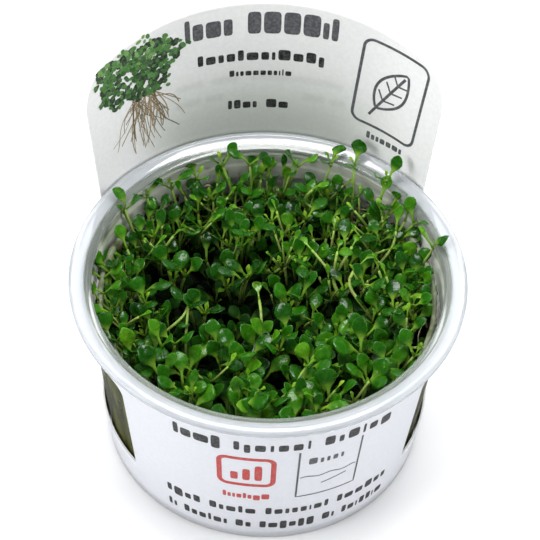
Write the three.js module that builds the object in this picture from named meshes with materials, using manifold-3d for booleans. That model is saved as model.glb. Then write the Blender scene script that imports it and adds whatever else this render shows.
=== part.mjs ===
// Mud mat plants growing in a clear culture cup, with a printed card sleeve round it and an arched header
// behind. Millimetres, +Z up, origin at the centre of the cup's foot. The header stands at +Y, the front is
// at -Y.

import * as THREE from 'three';
import { mergeVertices } from 'three/addons/utils/BufferGeometryUtils.js';
import Module from 'manifold-3d';

const wasm = await Module();
wasm.setup();

// Driving dimensions of the cup
const CUP_HEIGHT = 56.7;
const FLANGE_RADIUS = 50;
const FLANGE_THICKNESS = 1.2;
const MOUTH_RADIUS = 45;
const LEDGE_DEPTH = 7;
const LEDGE_WIDTH = 0.6;
const FOOT_RADIUS = 41.4;
const WALL = 0.9;
const FLOOR = 1;
const CUP_SIDES = 36;

// Driving dimensions of the card sleeve
const CARD = 0.45;
const CARD_FOOT_RADIUS = 42.4;
const CARD_TAPER = 0.092;
const CARD_LOW_EDGE = 0.5;
const CARD_TOP_EDGE = 54.3;
const WINDOW_LOW = 14.5;
const WINDOW_HIGH = 46.5;
const WINDOW_BACK_DEG = 62;
const WINDOW_FRONT_DEG = 125;
const HEADER_HALF_WIDTH = 50;
const HEADER_RISE = 41;
const HEADER_ARCH_DROP = 4.8;
const HEADER_CORNER = 11;
const HEADER_RADIUS = 50.85;
const HEADER_LEAN = 0.1;
const BEND_START = 8;
const BEND_END = 56;
const BEND_FADE_DEG = 16;

// Driving dimensions of the planting
const GEL_DEPTH = 10;
const GEL_CREEP = 0.6;
const GAP = 0.3;
const TUFTS = 24;
const TUFT_SPREAD = 0.93;
const MAT_RADIUS = 43.6;
const GOLDEN_ANGLE = Math.PI * (3 - Math.sqrt(5));
const SHOULDER = 35;
const CLUMP_TOP = 39.5;
const CANOPY = 42;
const CANOPY_SPREAD = 5;
const EDGE_RISE = 2;
const LEAF_LENGTH = 7.2;
const LEAF_WIDTH = 4.2;
const LEAF_THICKNESS = 0.5;
const LEAF_WIDEST = 0.66;
const LEAF_TILT_LOW = 0.8;
const LEAF_TILT_SPREAD = 0.42;
const STEM_HALF = 0.38;
const BUD = 0.7;
const JOINT = 0.9;
const SPRIGS = 3;
const SPRIG_SPREAD_LOW = 1.4;
const SPRIG_SPREAD = 2;
const TALL_LEAF_RISE = 4.5;
const PLAN_SEED = 1000;
const CLUMP_SEED = 5000;
const SEED_STEP = 77;
const TUFT_REACH = 37.5;
const TALL_SPRIG_FOOT = 36;
const ROOM_TOP = 80;

// Leaf tips of the tall sprigs that stand out of the mat, each [x, y, z]
const TALL_SPRIGS = [
  [-36.9, 26, 56.5], [-30.4, 32.2, 55.5], [-23.9, 36.5, 54], [-16.9, 39.2, 54.5],
  [-10.2, 41.2, 57.5], [-2.8, 41.4, 57.5], [10.4, 41, 57], [18.8, 38.8, 59.5], [24.6, 36.6, 61],
  [32.6, 29.7, 62.5], [33.4, 25.4, 56], [39.4, 19.6, 56.5], [43.2, 9.8, 58], [-42, 6, 53],
  [-31, -2, 52], [-40.4, -13, 51.5], [-20, -31, 51.5], [20.5, 13.5, 54], [25, 1, 53],
  [36.6, -5.5, 52.5], [35.6, -20.6, 52], [2, 24, 53],
];

const clear = new THREE.MeshStandardMaterial({ color: 0xe4ebec, roughness: 0.1, metalness: 0 });
const card = new THREE.MeshStandardMaterial({ color: 0xf2f3f6, roughness: 0.5, metalness: 0 });
const gel = new THREE.MeshStandardMaterial({ color: 0x6d6f48, roughness: 0.25, metalness: 0 });
const leaf = new THREE.MeshStandardMaterial({ color: 0x3c7a1a, roughness: 0.35, metalness: 0 });

// The same seeded draws place every run of the planting alike
function draws(seed) {
  let state = seed;
  return () => {
    state = (state * 16807) % 2147483647;
    return state / 2147483647;
  };
}

function solidOf(geometry) {
  const bare = geometry.index ? geometry.clone() : geometry;
  bare.deleteAttribute('normal');
  bare.deleteAttribute('uv');
  const merged = mergeVertices(bare, 1e-4);
  const vertProperties = Float32Array.from(merged.attributes.position.array);
  const triVerts = Uint32Array.from(merged.index.array);
  return new wasm.Manifold(new wasm.Mesh({ numProp: 3, vertProperties, triVerts }));
}

function geometryOf(solid) {
  const mesh = solid.getMesh();
  const geometry = new THREE.BufferGeometry();
  geometry.setAttribute('position', new THREE.BufferAttribute(Float32Array.from(mesh.vertProperties), 3));
  geometry.setIndex(new THREE.BufferAttribute(Uint32Array.from(mesh.triVerts), 1));
  return geometry;
}

function meshFrom(points, triangles) {
  const geometry = new THREE.BufferGeometry();
  geometry.setAttribute('position', new THREE.Float32BufferAttribute(points.flat(), 3));
  geometry.setIndex(triangles.flat());
  return geometry;
}

// Lathes run about +Z: three.js turns profiles about +Y, so each is stood up
function turned(profile, sides) {
  const geometry = new THREE.LatheGeometry(profile.map(([r, z]) => new THREE.Vector2(r, z)), sides);
  return geometry.rotateX(Math.PI / 2);
}

function named(name, geometry, material) {
  const mesh = new THREE.Mesh(geometry, material);
  mesh.name = name;
  return mesh;
}

// Inside radius of the cup's wall at a height
function wallInside(z) {
  const ledge = CUP_HEIGHT - LEDGE_DEPTH;
  const low = FOOT_RADIUS - WALL;
  if (z >= ledge) return MOUTH_RADIUS;
  return low + ((MOUTH_RADIUS - LEDGE_WIDTH - low) * z) / ledge;
}

// Cup: foot, tapered wall, stacking ledge, snap ridge and flange with a short turned-down edge
function cup() {
  const top = CUP_HEIGHT;
  const under = top - FLANGE_THICKNESS;
  const ledge = top - LEDGE_DEPTH;
  const ridge = MOUTH_RADIUS + 1.5;
  const skirt = 0.7;
  const profile = [
    [0, 0], [FOOT_RADIUS - 1.4, 0], [FOOT_RADIUS, 1.4],
    [wallInside(ledge - 0.8) + WALL, ledge - 0.8], [MOUTH_RADIUS + WALL, ledge], [MOUTH_RADIUS + WALL, under],
    [FLANGE_RADIUS - 0.9, under], [FLANGE_RADIUS - 0.7, under - skirt], [FLANGE_RADIUS - 0.1, under - skirt],
    [FLANGE_RADIUS, top - 0.5], [FLANGE_RADIUS - 0.6, top], [ridge, top], [ridge - 0.4, top - 1],
    [MOUTH_RADIUS, top - 1.7], [MOUTH_RADIUS, ledge + 0.3], [wallInside(ledge - 0.3), ledge - 0.3],
    [wallInside(2.4), 2.4], [FOOT_RADIUS - 2.4, FLOOR], [0, FLOOR],
  ];
  return named('cup', turned(profile, CUP_SIDES), clear);
}

// Height of the header's arched top above the flange, at a distance along the card from its middle
function archHeight(along) {
  const arch = (x) => HEADER_RISE - HEADER_ARCH_DROP * (x / (HEADER_HALF_WIDTH - HEADER_CORNER)) ** 2 * 0.8;
  const corner = HEADER_HALF_WIDTH - HEADER_CORNER;
  const x = Math.abs(along);
  if (x <= corner) return arch(x);
  const dip = Math.sqrt(Math.max(0, HEADER_CORNER ** 2 - (x - corner) ** 2));
  return arch(corner) - HEADER_CORNER + dip;
}

// How far the card is bent out to pass the flange: all the way across the header, none at the front
function bendAt(degrees) {
  const edge = THREE.MathUtils.radToDeg(HEADER_HALF_WIDTH / HEADER_RADIUS);
  return 1 - THREE.MathUtils.smoothstep(Math.abs(degrees), edge + 1, edge + BEND_FADE_DEG);
}

// Outside radius of the card at a height, and at an angle from the header's middle
function cardRadius(degrees, z) {
  const straight = CARD_FOOT_RADIUS + CARD_TAPER * z;
  if (z > CARD_TOP_EDGE) return HEADER_RADIUS + HEADER_LEAN * (z - CARD_TOP_EDGE);
  const full = HEADER_RADIUS - (CARD_FOOT_RADIUS + CARD_TAPER * CARD_TOP_EDGE);
  const rise = THREE.MathUtils.smoothstep(z, BEND_START, BEND_END);
  const whole = THREE.MathUtils.smoothstep(CARD_TOP_EDGE, BEND_START, BEND_END);
  return straight + (full * rise * bendAt(degrees)) / whole;
}

// The card's columns from the header's middle round to the front's middle, in degrees, one side only
function cardColumns() {
  const edge = THREE.MathUtils.radToDeg(HEADER_HALF_WIDTH / HEADER_RADIUS);
  const columns = [];
  for (let i = 0; i <= 8; i += 1) columns.push(edge * Math.sin((Math.PI / 2) * (i / 8)));
  for (let i = 0; i <= 6; i += 1) {
    columns.push(WINDOW_BACK_DEG + ((WINDOW_FRONT_DEG - WINDOW_BACK_DEG) * i) / 6);
  }
  for (let i = 1; i <= 5; i += 1) columns.push(WINDOW_FRONT_DEG + ((180 - WINDOW_FRONT_DEG) * i) / 5);
  return columns;
}

// Sleeve: a sheet of card closed on itself round the cup, with a window in each side and the header on top
function sleeve() {
  const half = cardColumns();
  const left = half.slice(1, -1).map((d) => 360 - d).reverse();
  const columns = [...half, ...left];
  const step = (WINDOW_HIGH - WINDOW_LOW) / 3;
  const rows = [CARD_LOW_EDGE, WINDOW_LOW, WINDOW_LOW + step, WINDOW_HIGH - step, WINDOW_HIGH, CARD_TOP_EDGE];
  const headerRows = 4;
  const edge = THREE.MathUtils.radToDeg(HEADER_HALF_WIDTH / HEADER_RADIUS);
  const levels = rows.length + headerRows;
  const signed = (d) => (d > 180 ? d - 360 : d);
  const heightAt = (d, level) => {
    if (level < rows.length) return rows[level];
    const along = Math.min(Math.abs(THREE.MathUtils.degToRad(signed(d)) * HEADER_RADIUS), HEADER_HALF_WIDTH);
    const top = CUP_HEIGHT + archHeight(along);
    return CARD_TOP_EDGE + ((top - CARD_TOP_EDGE) * (level - rows.length + 1)) / headerRows;
  };
  const filled = (column, level) => {
    const a = Math.abs(signed(columns[column]));
    const b = Math.abs(signed(columns[(column + 1) % columns.length]));
    const middle = columns[column] === 180 || b === 180 ? 179 : (a + b) / 2;
    if (level >= rows.length - 1) return middle < edge;
    const open = middle > WINDOW_BACK_DEG && middle < WINDOW_FRONT_DEG;
    return !(open && rows[level] >= WINDOW_LOW && rows[level] < WINDOW_HIGH);
  };
  const points = [];
  const index = (column, level, inner) => ((column % columns.length) * levels + level) * 2 + (inner ? 1 : 0);
  columns.forEach((d) => {
    for (let level = 0; level < levels; level += 1) {
      const z = heightAt(d, level);
      const angle = THREE.MathUtils.degToRad(d);
      const outer = cardRadius(signed(d), z);
      [outer, outer - CARD].forEach((r) => points.push([r * Math.sin(angle), r * Math.cos(angle), z]));
    }
  });
  const triangles = [];
  const quad = (a, b, c, d) => triangles.push([a, b, c], [a, c, d]);
  const isFilled = (column, level) => {
    if (level < 0 || level >= levels - 1) return false;
    return filled((column + columns.length) % columns.length, level);
  };
  for (let c = 0; c < columns.length; c += 1) {
    for (let l = 0; l < levels - 1; l += 1) {
      if (!isFilled(c, l)) continue;
      const [low, high] = [index(c, l), index(c, l + 1)];
      const [lowNext, highNext] = [index(c + 1, l), index(c + 1, l + 1)];
      const [lowIn, highIn] = [index(c, l, 1), index(c, l + 1, 1)];
      const [lowNextIn, highNextIn] = [index(c + 1, l, 1), index(c + 1, l + 1, 1)];
      quad(low, high, highNext, lowNext);
      quad(lowIn, lowNextIn, highNextIn, highIn);
      if (!isFilled(c, l + 1)) quad(high, highIn, highNextIn, highNext);
      if (!isFilled(c, l - 1)) quad(low, lowNext, lowNextIn, lowIn);
      if (!isFilled(c + 1, l)) quad(lowNext, highNext, highNextIn, lowNextIn);
      if (!isFilled(c - 1, l)) quad(low, lowIn, highIn, high);
    }
  }
  const used = mergeUsed(points, triangles);
  return named('sleeve', meshFrom(used.points, used.triangles), card);
}

// Leaves out the points that no triangle uses
function mergeUsed(points, triangles) {
  const places = new Map();
  const kept = [];
  const place = (i) => {
    if (!places.has(i)) {
      places.set(i, kept.length);
      kept.push(points[i]);
    }
    return places.get(i);
  };
  return { triangles: triangles.map((t) => t.map(place)), points: kept };
}

// Gel: the layer on the cup's floor that the plants root in, a little higher where it wets the wall
function nutrientGel() {
  const low = FLOOR + GAP;
  const rim = GEL_DEPTH + GEL_CREEP;
  const profile = [
    [0, low], [FOOT_RADIUS - 3.2, low], [wallInside(3) - GAP, 3],
    [wallInside(rim) - GAP, rim], [0, GEL_DEPTH],
  ];
  return named('nutrient_gel', turned(profile, CUP_SIDES), gel);
}

// Tufts stand in a sunflower's order, which fills the round cup evenly
function tuftCentre(k) {
  const r = MAT_RADIUS * Math.sqrt((k + 0.5) / TUFTS) * TUFT_SPREAD;
  return [r * Math.cos(k * GOLDEN_ANGLE), r * Math.sin(k * GOLDEN_ANGLE)];
}

// Cuts a convex outline along the line where normal . point = limit
function clipOutline(outline, [nx, ny], limit) {
  const kept = [];
  outline.forEach((a, i) => {
    const b = outline[(i + 1) % outline.length];
    const da = nx * a[0] + ny * a[1] - limit;
    const db = nx * b[0] + ny * b[1] - limit;
    if (da <= 0) kept.push(a);
    const share = da / (da - db);
    if (da * db < 0) kept.push([a[0] + (b[0] - a[0]) * share, a[1] + (b[1] - a[1]) * share]);
  });
  return kept;
}

// The share of the cup's mouth that is nearer to one tuft than to any other
function tuftCell(k, reach, spacing) {
  const [x, y] = tuftCentre(k);
  let outline = [[-reach, -reach], [reach, -reach], [reach, reach], [-reach, reach]];
  for (let j = 0; j < TUFTS; j += 1) {
    if (j === k) continue;
    const [ox, oy] = tuftCentre(j);
    const far = Math.hypot(ox - x, oy - y);
    const normal = [(ox - x) / far, (oy - y) / far];
    const middle = (normal[0] * (x + ox) + normal[1] * (y + oy)) / 2;
    outline = clipOutline(outline, normal, middle - spacing / 2);
  }
  return outline;
}

// Drops outline points that sit closer together than a size
function thinned(outline, size) {
  return outline.filter((p, i) => {
    const q = outline[(i + outline.length - 1) % outline.length];
    return Math.hypot(p[0] - q[0], p[1] - q[1]) > size;
  });
}

// Clump: the dense undergrowth of one tuft, from the gel up to a lumpy top, within the tapered cup
function clump(k) {
  const random = draws(CLUMP_SEED + SEED_STEP * k);
  let outline = tuftCell(k, 60, 0.5);
  const rounds = 18;
  for (let i = 0; i < rounds; i += 1) {
    const angle = (2 * Math.PI * (i + 0.5)) / rounds;
    outline = clipOutline(outline, [Math.cos(angle), Math.sin(angle)], MAT_RADIUS);
  }
  outline = thinned(outline, 2);
  const [cx, cy] = tuftCentre(k);
  const points = [];
  const foot = GEL_DEPTH + GEL_CREEP + GAP;
  const ring = (z, inset, wobble) => {
    outline.forEach(([x, y]) => {
      const pull = Math.min(1, (wallInside(z) - 0.8) / Math.hypot(x, y));
      const px = x * pull + (cx - x * pull) * inset;
      const py = y * pull + (cy - y * pull) * inset;
      points.push([px, py, z + wobble * (random() - 0.5)]);
    });
  };
  ring(foot, 0.06, 0);
  ring(SHOULDER, 0.02, 5);
  ring(CLUMP_TOP, 0.4, 3);
  const n = outline.length;
  const low = points.length;
  points.push([cx * 0.96, cy * 0.96, foot]);
  points.push([cx, cy, CLUMP_TOP + 1 + 2 * random()]);
  const triangles = [];
  for (let i = 0; i < n; i += 1) {
    const j = (i + 1) % n;
    triangles.push([low, j, i], [low + 1, 2 * n + i, 2 * n + j]);
    for (let level = 0; level < 2; level += 1) {
      const a = level * n;
      triangles.push([a + i, a + j, a + n + j], [a + i, a + n + j, a + n + i]);
    }
  }
  return solidOf(meshFrom(points, triangles));
}

// Sprig: a thin four-sided stem on a bent line, with one leaf grown out of each side of its upper joints
function sprig({ base, tip, turn, pairs }) {
  const bend = (t) => {
    const middle = [base[0] * 0.9 + tip[0] * 0.1, base[1] * 0.9 + tip[1] * 0.1, (base[2] + tip[2]) / 2];
    return base.map((b, i) => (1 - t) ** 2 * b + 2 * t * (1 - t) * middle[i] + t ** 2 * tip[i]);
  };
  const joint = JOINT / (tip[2] - base[2]);
  const stops = [0];
  pairs.forEach(({ height }) => stops.push(height - joint, height));
  const points = [];
  const triangles = [];
  const quad = (a, b, c, d) => triangles.push([a, b, c], [a, c, d]);
  stops.forEach((t) => {
    const p = bend(t);
    for (let side = 0; side < 4; side += 1) {
      const angle = turn + (Math.PI / 2) * side - Math.PI / 4;
      points.push([p[0] + STEM_HALF * Math.cos(angle), p[1] + STEM_HALF * Math.sin(angle), p[2]]);
    }
  });
  const leafOn = (level, side, { tilt, length }) => {
    const out = turn + (Math.PI / 2) * side;
    const along = [Math.cos(out) * Math.cos(tilt), Math.sin(out) * Math.cos(tilt), Math.sin(tilt)];
    const across = [-Math.sin(out), Math.cos(out), 0];
    const up = [-Math.cos(out) * Math.sin(tilt), -Math.sin(out) * Math.sin(tilt), Math.cos(tilt)];
    const centre = bend((stops[level] + stops[level + 1]) / 2);
    const at = (l, w, h) => centre.map((c, i) => c + along[i] * l + across[i] * w + up[i] * h);
    const next = (side + 1) % 4;
    const foot = [level * 4 + side, level * 4 + next, (level + 1) * 4 + next, (level + 1) * 4 + side];
    const wide = (LEAF_WIDTH / LEAF_LENGTH / 2) * length;
    const far = length * LEAF_WIDEST;
    const thick = LEAF_THICKNESS / 2;
    const first = points.length;
    points.push(at(far, -wide, -thick), at(far, wide, -thick), at(far, wide, thick), at(far, -wide, thick));
    points.push(at(length, 0, 0));
    foot.forEach((f, i) => {
      const g = (i + 1) % 4;
      quad(f, foot[g], first + g, first + i);
      triangles.push([first + i, first + g, first + 4]);
    });
  };
  for (let level = 0; level < stops.length - 1; level += 1) {
    const pair = level % 2 === 1 ? pairs[(level - 1) / 2] : null;
    for (let side = 0; side < 4; side += 1) {
      const next = (side + 1) % 4;
      const grows = pair && side % 2 === pair.side;
      if (grows) leafOn(level, side, pair.leaves[side >> 1]);
      else quad(level * 4 + side, level * 4 + next, (level + 1) * 4 + next, (level + 1) * 4 + side);
    }
  }
  const last = (stops.length - 1) * 4;
  const bud = points.length;
  points.push([tip[0], tip[1], tip[2] + BUD]);
  for (let side = 0; side < 4; side += 1) triangles.push([last + side, last + ((side + 1) % 4), bud]);
  quad(0, 3, 2, 1);
  return solidOf(meshFrom(points, triangles));
}

function nearestTuft(x, y) {
  let best = 0;
  let least = Infinity;
  for (let k = 0; k < TUFTS; k += 1) {
    const [cx, cy] = tuftCentre(k);
    const far = Math.hypot(x - cx, y - cy);
    if (far < least) {
      least = far;
      best = k;
    }
  }
  return best;
}

// The room inside the wall, straight up past the mouth
function roomInCup() {
  const profile = [
    [0, 2], [wallInside(2) - 0.5, 2], [wallInside(49) - 0.5, 49], [MOUTH_RADIUS - 0.6, 50.5],
    [MOUTH_RADIUS - 0.6, ROOM_TOP], [0, ROOM_TOP],
  ];
  return solidOf(turned(profile, 48));
}

// The room of a sprig that leans over the flange, as far as the header
function roomOverRim() {
  const profile = [
    [0, 2], [wallInside(2) - 0.5, 2], [wallInside(49) - 0.5, 49], [MOUTH_RADIUS - 0.6, 50.5],
    [MOUTH_RADIUS - 0.6, CUP_HEIGHT + GAP], [HEADER_RADIUS - 1.4, CUP_HEIGHT + GAP],
    [HEADER_RADIUS - 1.2, ROOM_TOP], [0, ROOM_TOP],
  ];
  return solidOf(turned(profile, 48));
}

function cellPrism(k) {
  const shape = new THREE.Shape(tuftCell(k, 60, 0.3).map(([x, y]) => new THREE.Vector2(x, y)));
  return solidOf(new THREE.ExtrudeGeometry(shape, { depth: ROOM_TOP, bevelEnabled: false }));
}

// Plan of one tuft's sprigs: where each stem starts and forks, how it is turned, and its pairs of leaves
function sprigPlan(k) {
  const random = draws(PLAN_SEED + SEED_STEP * k);
  const centre = tuftCentre(k);
  const home = Math.min(1, TUFT_REACH / Math.hypot(...centre));
  const [cx, cy] = centre.map((c) => c * home);
  const edge = (Math.hypot(cx, cy) / MAT_RADIUS) ** 2;
  const leafPair = (height, side, size) => {
    const leaves = [0, 1].map(() => {
      const tilt = LEAF_TILT_LOW + LEAF_TILT_SPREAD * random();
      return { tilt, length: size * (0.9 + 0.2 * random()) };
    });
    return { height, side, leaves };
  };
  const tall = TALL_SPRIGS.filter(([x, y]) => nearestTuft(x, y) === k);
  const plans = [];
  for (let i = 0; i < SPRIGS - Math.min(tall.length, 2); i += 1) {
    const angle = (2 * Math.PI * (i + 0.8 * random())) / SPRIGS;
    const r = SPRIG_SPREAD_LOW + SPRIG_SPREAD * random();
    const [dx, dy] = [r * Math.cos(angle), r * Math.sin(angle)];
    const base = [cx + dx / 2, cy + dy / 2, CLUMP_TOP - 4];
    const tip = [cx + dx, cy + dy, CANOPY + CANOPY_SPREAD * random() + EDGE_RISE * edge];
    const turn = 2 * Math.PI * random();
    plans.push({ base, tip, turn, pairs: [leafPair(0.98, 0, LEAF_LENGTH)] });
  }
  tall.forEach(([x, y, z]) => {
    const start = [cx + (x - cx) * 0.45, cy + (y - cy) * 0.45];
    const pull = Math.min(1, TALL_SPRIG_FOOT / Math.hypot(...start));
    const base = [start[0] * pull, start[1] * pull, SHOULDER - 6];
    const overRim = z > CUP_HEIGHT + TALL_LEAF_RISE;
    const turn = overRim ? Math.atan2(y, x) : 2 * Math.PI * random();
    const pairs = [leafPair(0.98, 0, LEAF_LENGTH * 0.9)];
    if (z > CUP_HEIGHT) pairs.unshift(leafPair(0.7, 1, LEAF_LENGTH * 0.8));
    plans.push({ base, tip: [x, y, z - TALL_LEAF_RISE], turn, pairs, overRim });
  });
  return plans;
}

// Tuft: one clump with its sprigs, kept clear of the tufts round it and of the wall
function tuft(k, inCup, overRim) {
  let low = clump(k);
  let high = null;
  sprigPlan(k).forEach((plan) => {
    const grown = sprig(plan);
    if (!plan.overRim) low = low.add(grown);
    else high = high ? high.add(grown) : grown;
  });
  let solid = low.intersect(inCup);
  if (high) solid = solid.add(high.intersect(overRim));
  solid = solid.intersect(cellPrism(k));
  return named(`tuft_${String(k + 1).padStart(2, '0')}`, geometryOf(solid), leaf);
}

const plant = new THREE.Group();
const inCup = roomInCup();
const overRim = roomOverRim();
plant.add(cup(), sleeve(), nutrientGel());
for (let k = 0; k < TUFTS; k += 1) plant.add(tuft(k, inCup, overRim));

export default plant;
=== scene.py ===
# Dressed model of a culture cup full of mud mat plants in its printed card sleeve. Metres, +Z up, header at +Y.

import math

import bmesh
import bpy
import numpy as np
from mathutils import Matrix, Vector


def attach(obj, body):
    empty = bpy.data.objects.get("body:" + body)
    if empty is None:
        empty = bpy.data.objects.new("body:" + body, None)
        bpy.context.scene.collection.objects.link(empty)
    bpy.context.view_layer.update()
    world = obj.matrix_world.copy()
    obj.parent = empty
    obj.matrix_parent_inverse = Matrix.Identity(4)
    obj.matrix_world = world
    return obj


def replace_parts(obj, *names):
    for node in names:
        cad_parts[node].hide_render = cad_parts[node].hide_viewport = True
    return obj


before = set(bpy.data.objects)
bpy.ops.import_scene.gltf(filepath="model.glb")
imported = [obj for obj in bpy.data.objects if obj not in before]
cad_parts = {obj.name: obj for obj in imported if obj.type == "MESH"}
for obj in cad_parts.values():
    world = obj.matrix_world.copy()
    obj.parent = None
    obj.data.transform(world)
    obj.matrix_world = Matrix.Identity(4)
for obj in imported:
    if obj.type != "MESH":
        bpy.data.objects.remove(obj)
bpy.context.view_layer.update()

MM = 0.001
TURN = 2 * math.pi

# The cup, in millimetres as in the part's source
CUP_HEIGHT = 56.7
FLANGE_RADIUS = 50
MOUTH_RADIUS = 45
LEDGE_DEPTH = 7
LEDGE_WIDTH = 0.6
FOOT_RADIUS = 41.4
WALL = 0.9
FLOOR = 1
LIP_REACH = 0.8
LIP_DROP = 1.8
LIP_FADE = 2.4
MIST_LINE = 45.5

# The card sleeve
CARD = 0.45
CARD_FOOT_RADIUS = 42.1
CARD_TAPER = 0.0975
CARD_LOW_EDGE = 0.5
CARD_TOP_EDGE = 54.3
WINDOW_LOW = 13
WINDOW_HIGH = 46.5
WINDOW_BACK_DEG = 62
WINDOW_FRONT_DEG = 127.5
WINDOW_CORNER = 3.2
WINDOW_MM_PER_DEG = math.radians(1) * 46
HEADER_HALF_WIDTH = 50
HEADER_RISE = 41
HEADER_ARCH_DROP = 4.8
HEADER_CORNER = 11
HEADER_RADIUS = 50.85
HEADER_EDGE_DEG = math.degrees(HEADER_HALF_WIDTH / HEADER_RADIUS)
FRONT_PRINT_RADIUS = 45.5
HEADER_LEAN = 0.1
BEND_START = 8
BEND_END = 56
BEND_FADE_DEG = 16

# The planting
GEL_DEPTH = 10
GEL_CREEP = 0.6
GAP = 0.3
TUFTS = 24
TUFT_SPREAD = 0.93
MAT_RADIUS = 43.6
GOLDEN_ANGLE = math.pi * (3 - math.sqrt(5))
SHOULDER = 35
CLUMP_TOP = 39.5
CANOPY = 42
CANOPY_SPREAD = 5
EDGE_RISE = 2
LEAF_LENGTH = 7.2
LEAF_TILT_LOW = 0.8
LEAF_TILT_SPREAD = 0.42
SPRIGS = 3
SPRIG_SPREAD_LOW = 1.4
SPRIG_SPREAD = 2
TALL_LEAF_RISE = 4.5
PLAN_SEED = 1000
SEED_STEP = 77
TUFT_REACH = 37.5
TALL_SPRIG_FOOT = 36
MAT_SPRIGS = 300
YOUNG_FORKS = 46
BACK_SPRIGS = 54
PRESSED_LEAVES = 150
LYING_ROOTS = 170
WINDOW_ROOTS = 26
STEM_FOOT_REACH = 37
PLANT_CLEARANCE = 0.45
LEAN_OVER_RIM = 4.2
WALL_GROWTH_TOP = 40.5
WALL_GROWTH_DEPTH = 1.1
SHADED_BELOW = 38
UNDERGROWTH_SEED, PLANTS_SEED, ROOTS_SEED, LETTERS_SEED, PICTURE_SEED = 31, 4242, 977, 611, 88
TALL_SPRIGS = [
    # where a tall sprig's tip stands, and its height
    (-36.9, 26, 56.5), (-30.4, 32.2, 55.5), (-23.9, 36.5, 54), (-16.9, 39.2, 54.5),
    (-10.2, 41.2, 57.5), (-2.8, 41.4, 57.5), (10.4, 41, 57), (18.8, 38.8, 59.5), (24.6, 36.6, 61),
    (32.6, 29.7, 62.5), (33.4, 25.4, 56), (39.4, 19.6, 56.5), (43.2, 9.8, 58), (-42, 6, 53),
    (-31, -2, 52), (-40.4, -13, 51.5), (-20, -31, 51.5), (20.5, 13.5, 54), (25, 1, 53),
    (36.6, -5.5, 52.5), (35.6, -20.6, 52), (2, 24, 53),
]
YOUNG_PLACES = [
    # x, y and how far round it the young forks stand
    (20, 12, 9), (10, 20, 8), (26, 2, 8), (4, 6, 10), (30, 18, 6), (-14, 30, 7), (24, 28, 6), (-34, -4, 6),
    (16, -4, 9), (-2, 32, 8), (33, -10, 5), (-8, -28, 8), (14, -30, 9), (-26, 24, 7), (-4, 14, 10),
]
RUNNERS = [
    # a pale stem's points, its radius and the length of the leaf at its end
    ([(28.6, -6.5, 36), (27.3, -4.9, 42), (25.1, -2.9, 44.5), (22.1, -0.4, 46), (21, 2.5, 47), (22.3, 5.6, 48),
      (24, 8.1, 49)], 0.52, 5.2),
    ([(22.1, 3.4, 47), (24.4, 2.8, 47.5), (26.6, 2.1, 48)], 0.3, 4.6),
    ([(20.5, 1, 34), (19.7, 3, 40), (18.3, 4.6, 43), (17.4, 6.8, 46)], 0.6, 0),
    ([(17.4, 6.8, 46), (15.4, 9.8, 47), (12.2, 14, 48.5)], 0.42, 5),
    ([(17.4, 6.8, 46), (20.1, 10.6, 47.5), (22.6, 14.4, 49)], 0.5, 4.4),
    ([(17.6, 7.4, 45.6), (17.9, 9.5, 48), (18.6, 12, 50)], 0.4, 3.4),
    ([(27.4, -9, 36), (28.4, -7.5, 42), (29.9, -6.3, 44.5), (31.9, -4.8, 46.5), (34.2, -4.1, 48)], 0.46, 6),
    ([(27, 9, 38), (28.9, 11, 44), (31.6, 13.4, 46), (33.2, 15.1, 48), (34.3, 17.8, 51)], 0.42, 7),
    ([(18.6, 25, 40), (17.5, 26.8, 46), (12.6, 30.3, 47), (12, 31.4, 49), (13.3, 32.2, 52)], 0.34, 5),
    ([(-3, -16, 34), (-2.8, -11.8, 40), (-1.9, -7.8, 43), (-2.1, -0.4, 46)], 0.44, 5.4),
    ([(5.6, -32, 38), (6.3, -30.1, 43), (5.6, -28.6, 45), (6.6, -26.4, 47), (8.2, -24.5, 48.5)], 0.42, 4.6),
    ([(-30, -9, 36), (-27, -8.6, 43), (-23, -6.5, 45.5), (-20.4, -3, 47)], 0.4, 3.6),
    ([(-20.8, -14, 36), (-21, -10, 42), (-20.6, -6, 45.5), (-20.2, -3, 47.5)], 0.4, 4),
]
WALL_LEAVES = [
    # a large leaf's foot, the way its blade goes over the mat, its tilt and its length
    ((-36.1, 25.6, 53), 2.55, 1.2, 7.4), ((-35.6, 15.6, 48.5), 2.2, 1.05, 7), ((-40.5, 8, 49), 2.9, 1.1, 7),
    ((-42.6, -2.5, 49.5), 2.7, 1.25, 6.4), ((-34, 9.3, 42), 1.2, 0.75, 7), ((31, 27.3, 53), 0.95, 1.1, 6.8),
    ((36.7, 20.2, 52), 0.9, 1.1, 7), ((-31.5, 22, 45), 1.9, 0.9, 6.6), ((-22, -26, 44.5), 1.7, 0.8, 8.4),
    ((-29, -17, 44), 1.4, 0.75, 8.2), ((-13, -14, 43), 1.9, 0.85, 8), ((-5, -33, 45.5), 1.5, 0.8, 7.6),
]


# Shader helpers. A colour is its red, green and blue. A value may be plain or another node's output.

def feed(socket, value):
    if isinstance(value, bpy.types.NodeSocket):
        socket.id_data.links.new(value, socket)
    else:
        socket.default_value = (*value, 1) if socket.type == "RGBA" else value


def dress(shader, inputs):
    for name, value in inputs.items():
        feed(shader.inputs[name], value)


def node(kind, inputs, tree=None, **settings):
    """Adds a node to the given tree, or to the tree of what feeds it."""
    tree = tree or next(value for value in inputs.values() if isinstance(value, bpy.types.NodeSocket)).id_data
    made = tree.nodes.new("ShaderNode" + kind)
    for name, value in settings.items():
        setattr(made, name, value)
    dress(made, inputs)
    return made


def maths(operation, a, b=0.0, clamp=False):
    return node("Math", {0: a, 1: b}, operation=operation, use_clamp=clamp).outputs[0]


def vector_maths(operation, a, b=(0, 0, 0)):
    return node("VectorMath", {0: a, 1: b}, operation=operation).outputs


def blend(share, a, b):
    return node("Mix", {"Factor": share, "A": a, "B": b}, data_type="RGBA").outputs["Result"]


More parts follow.
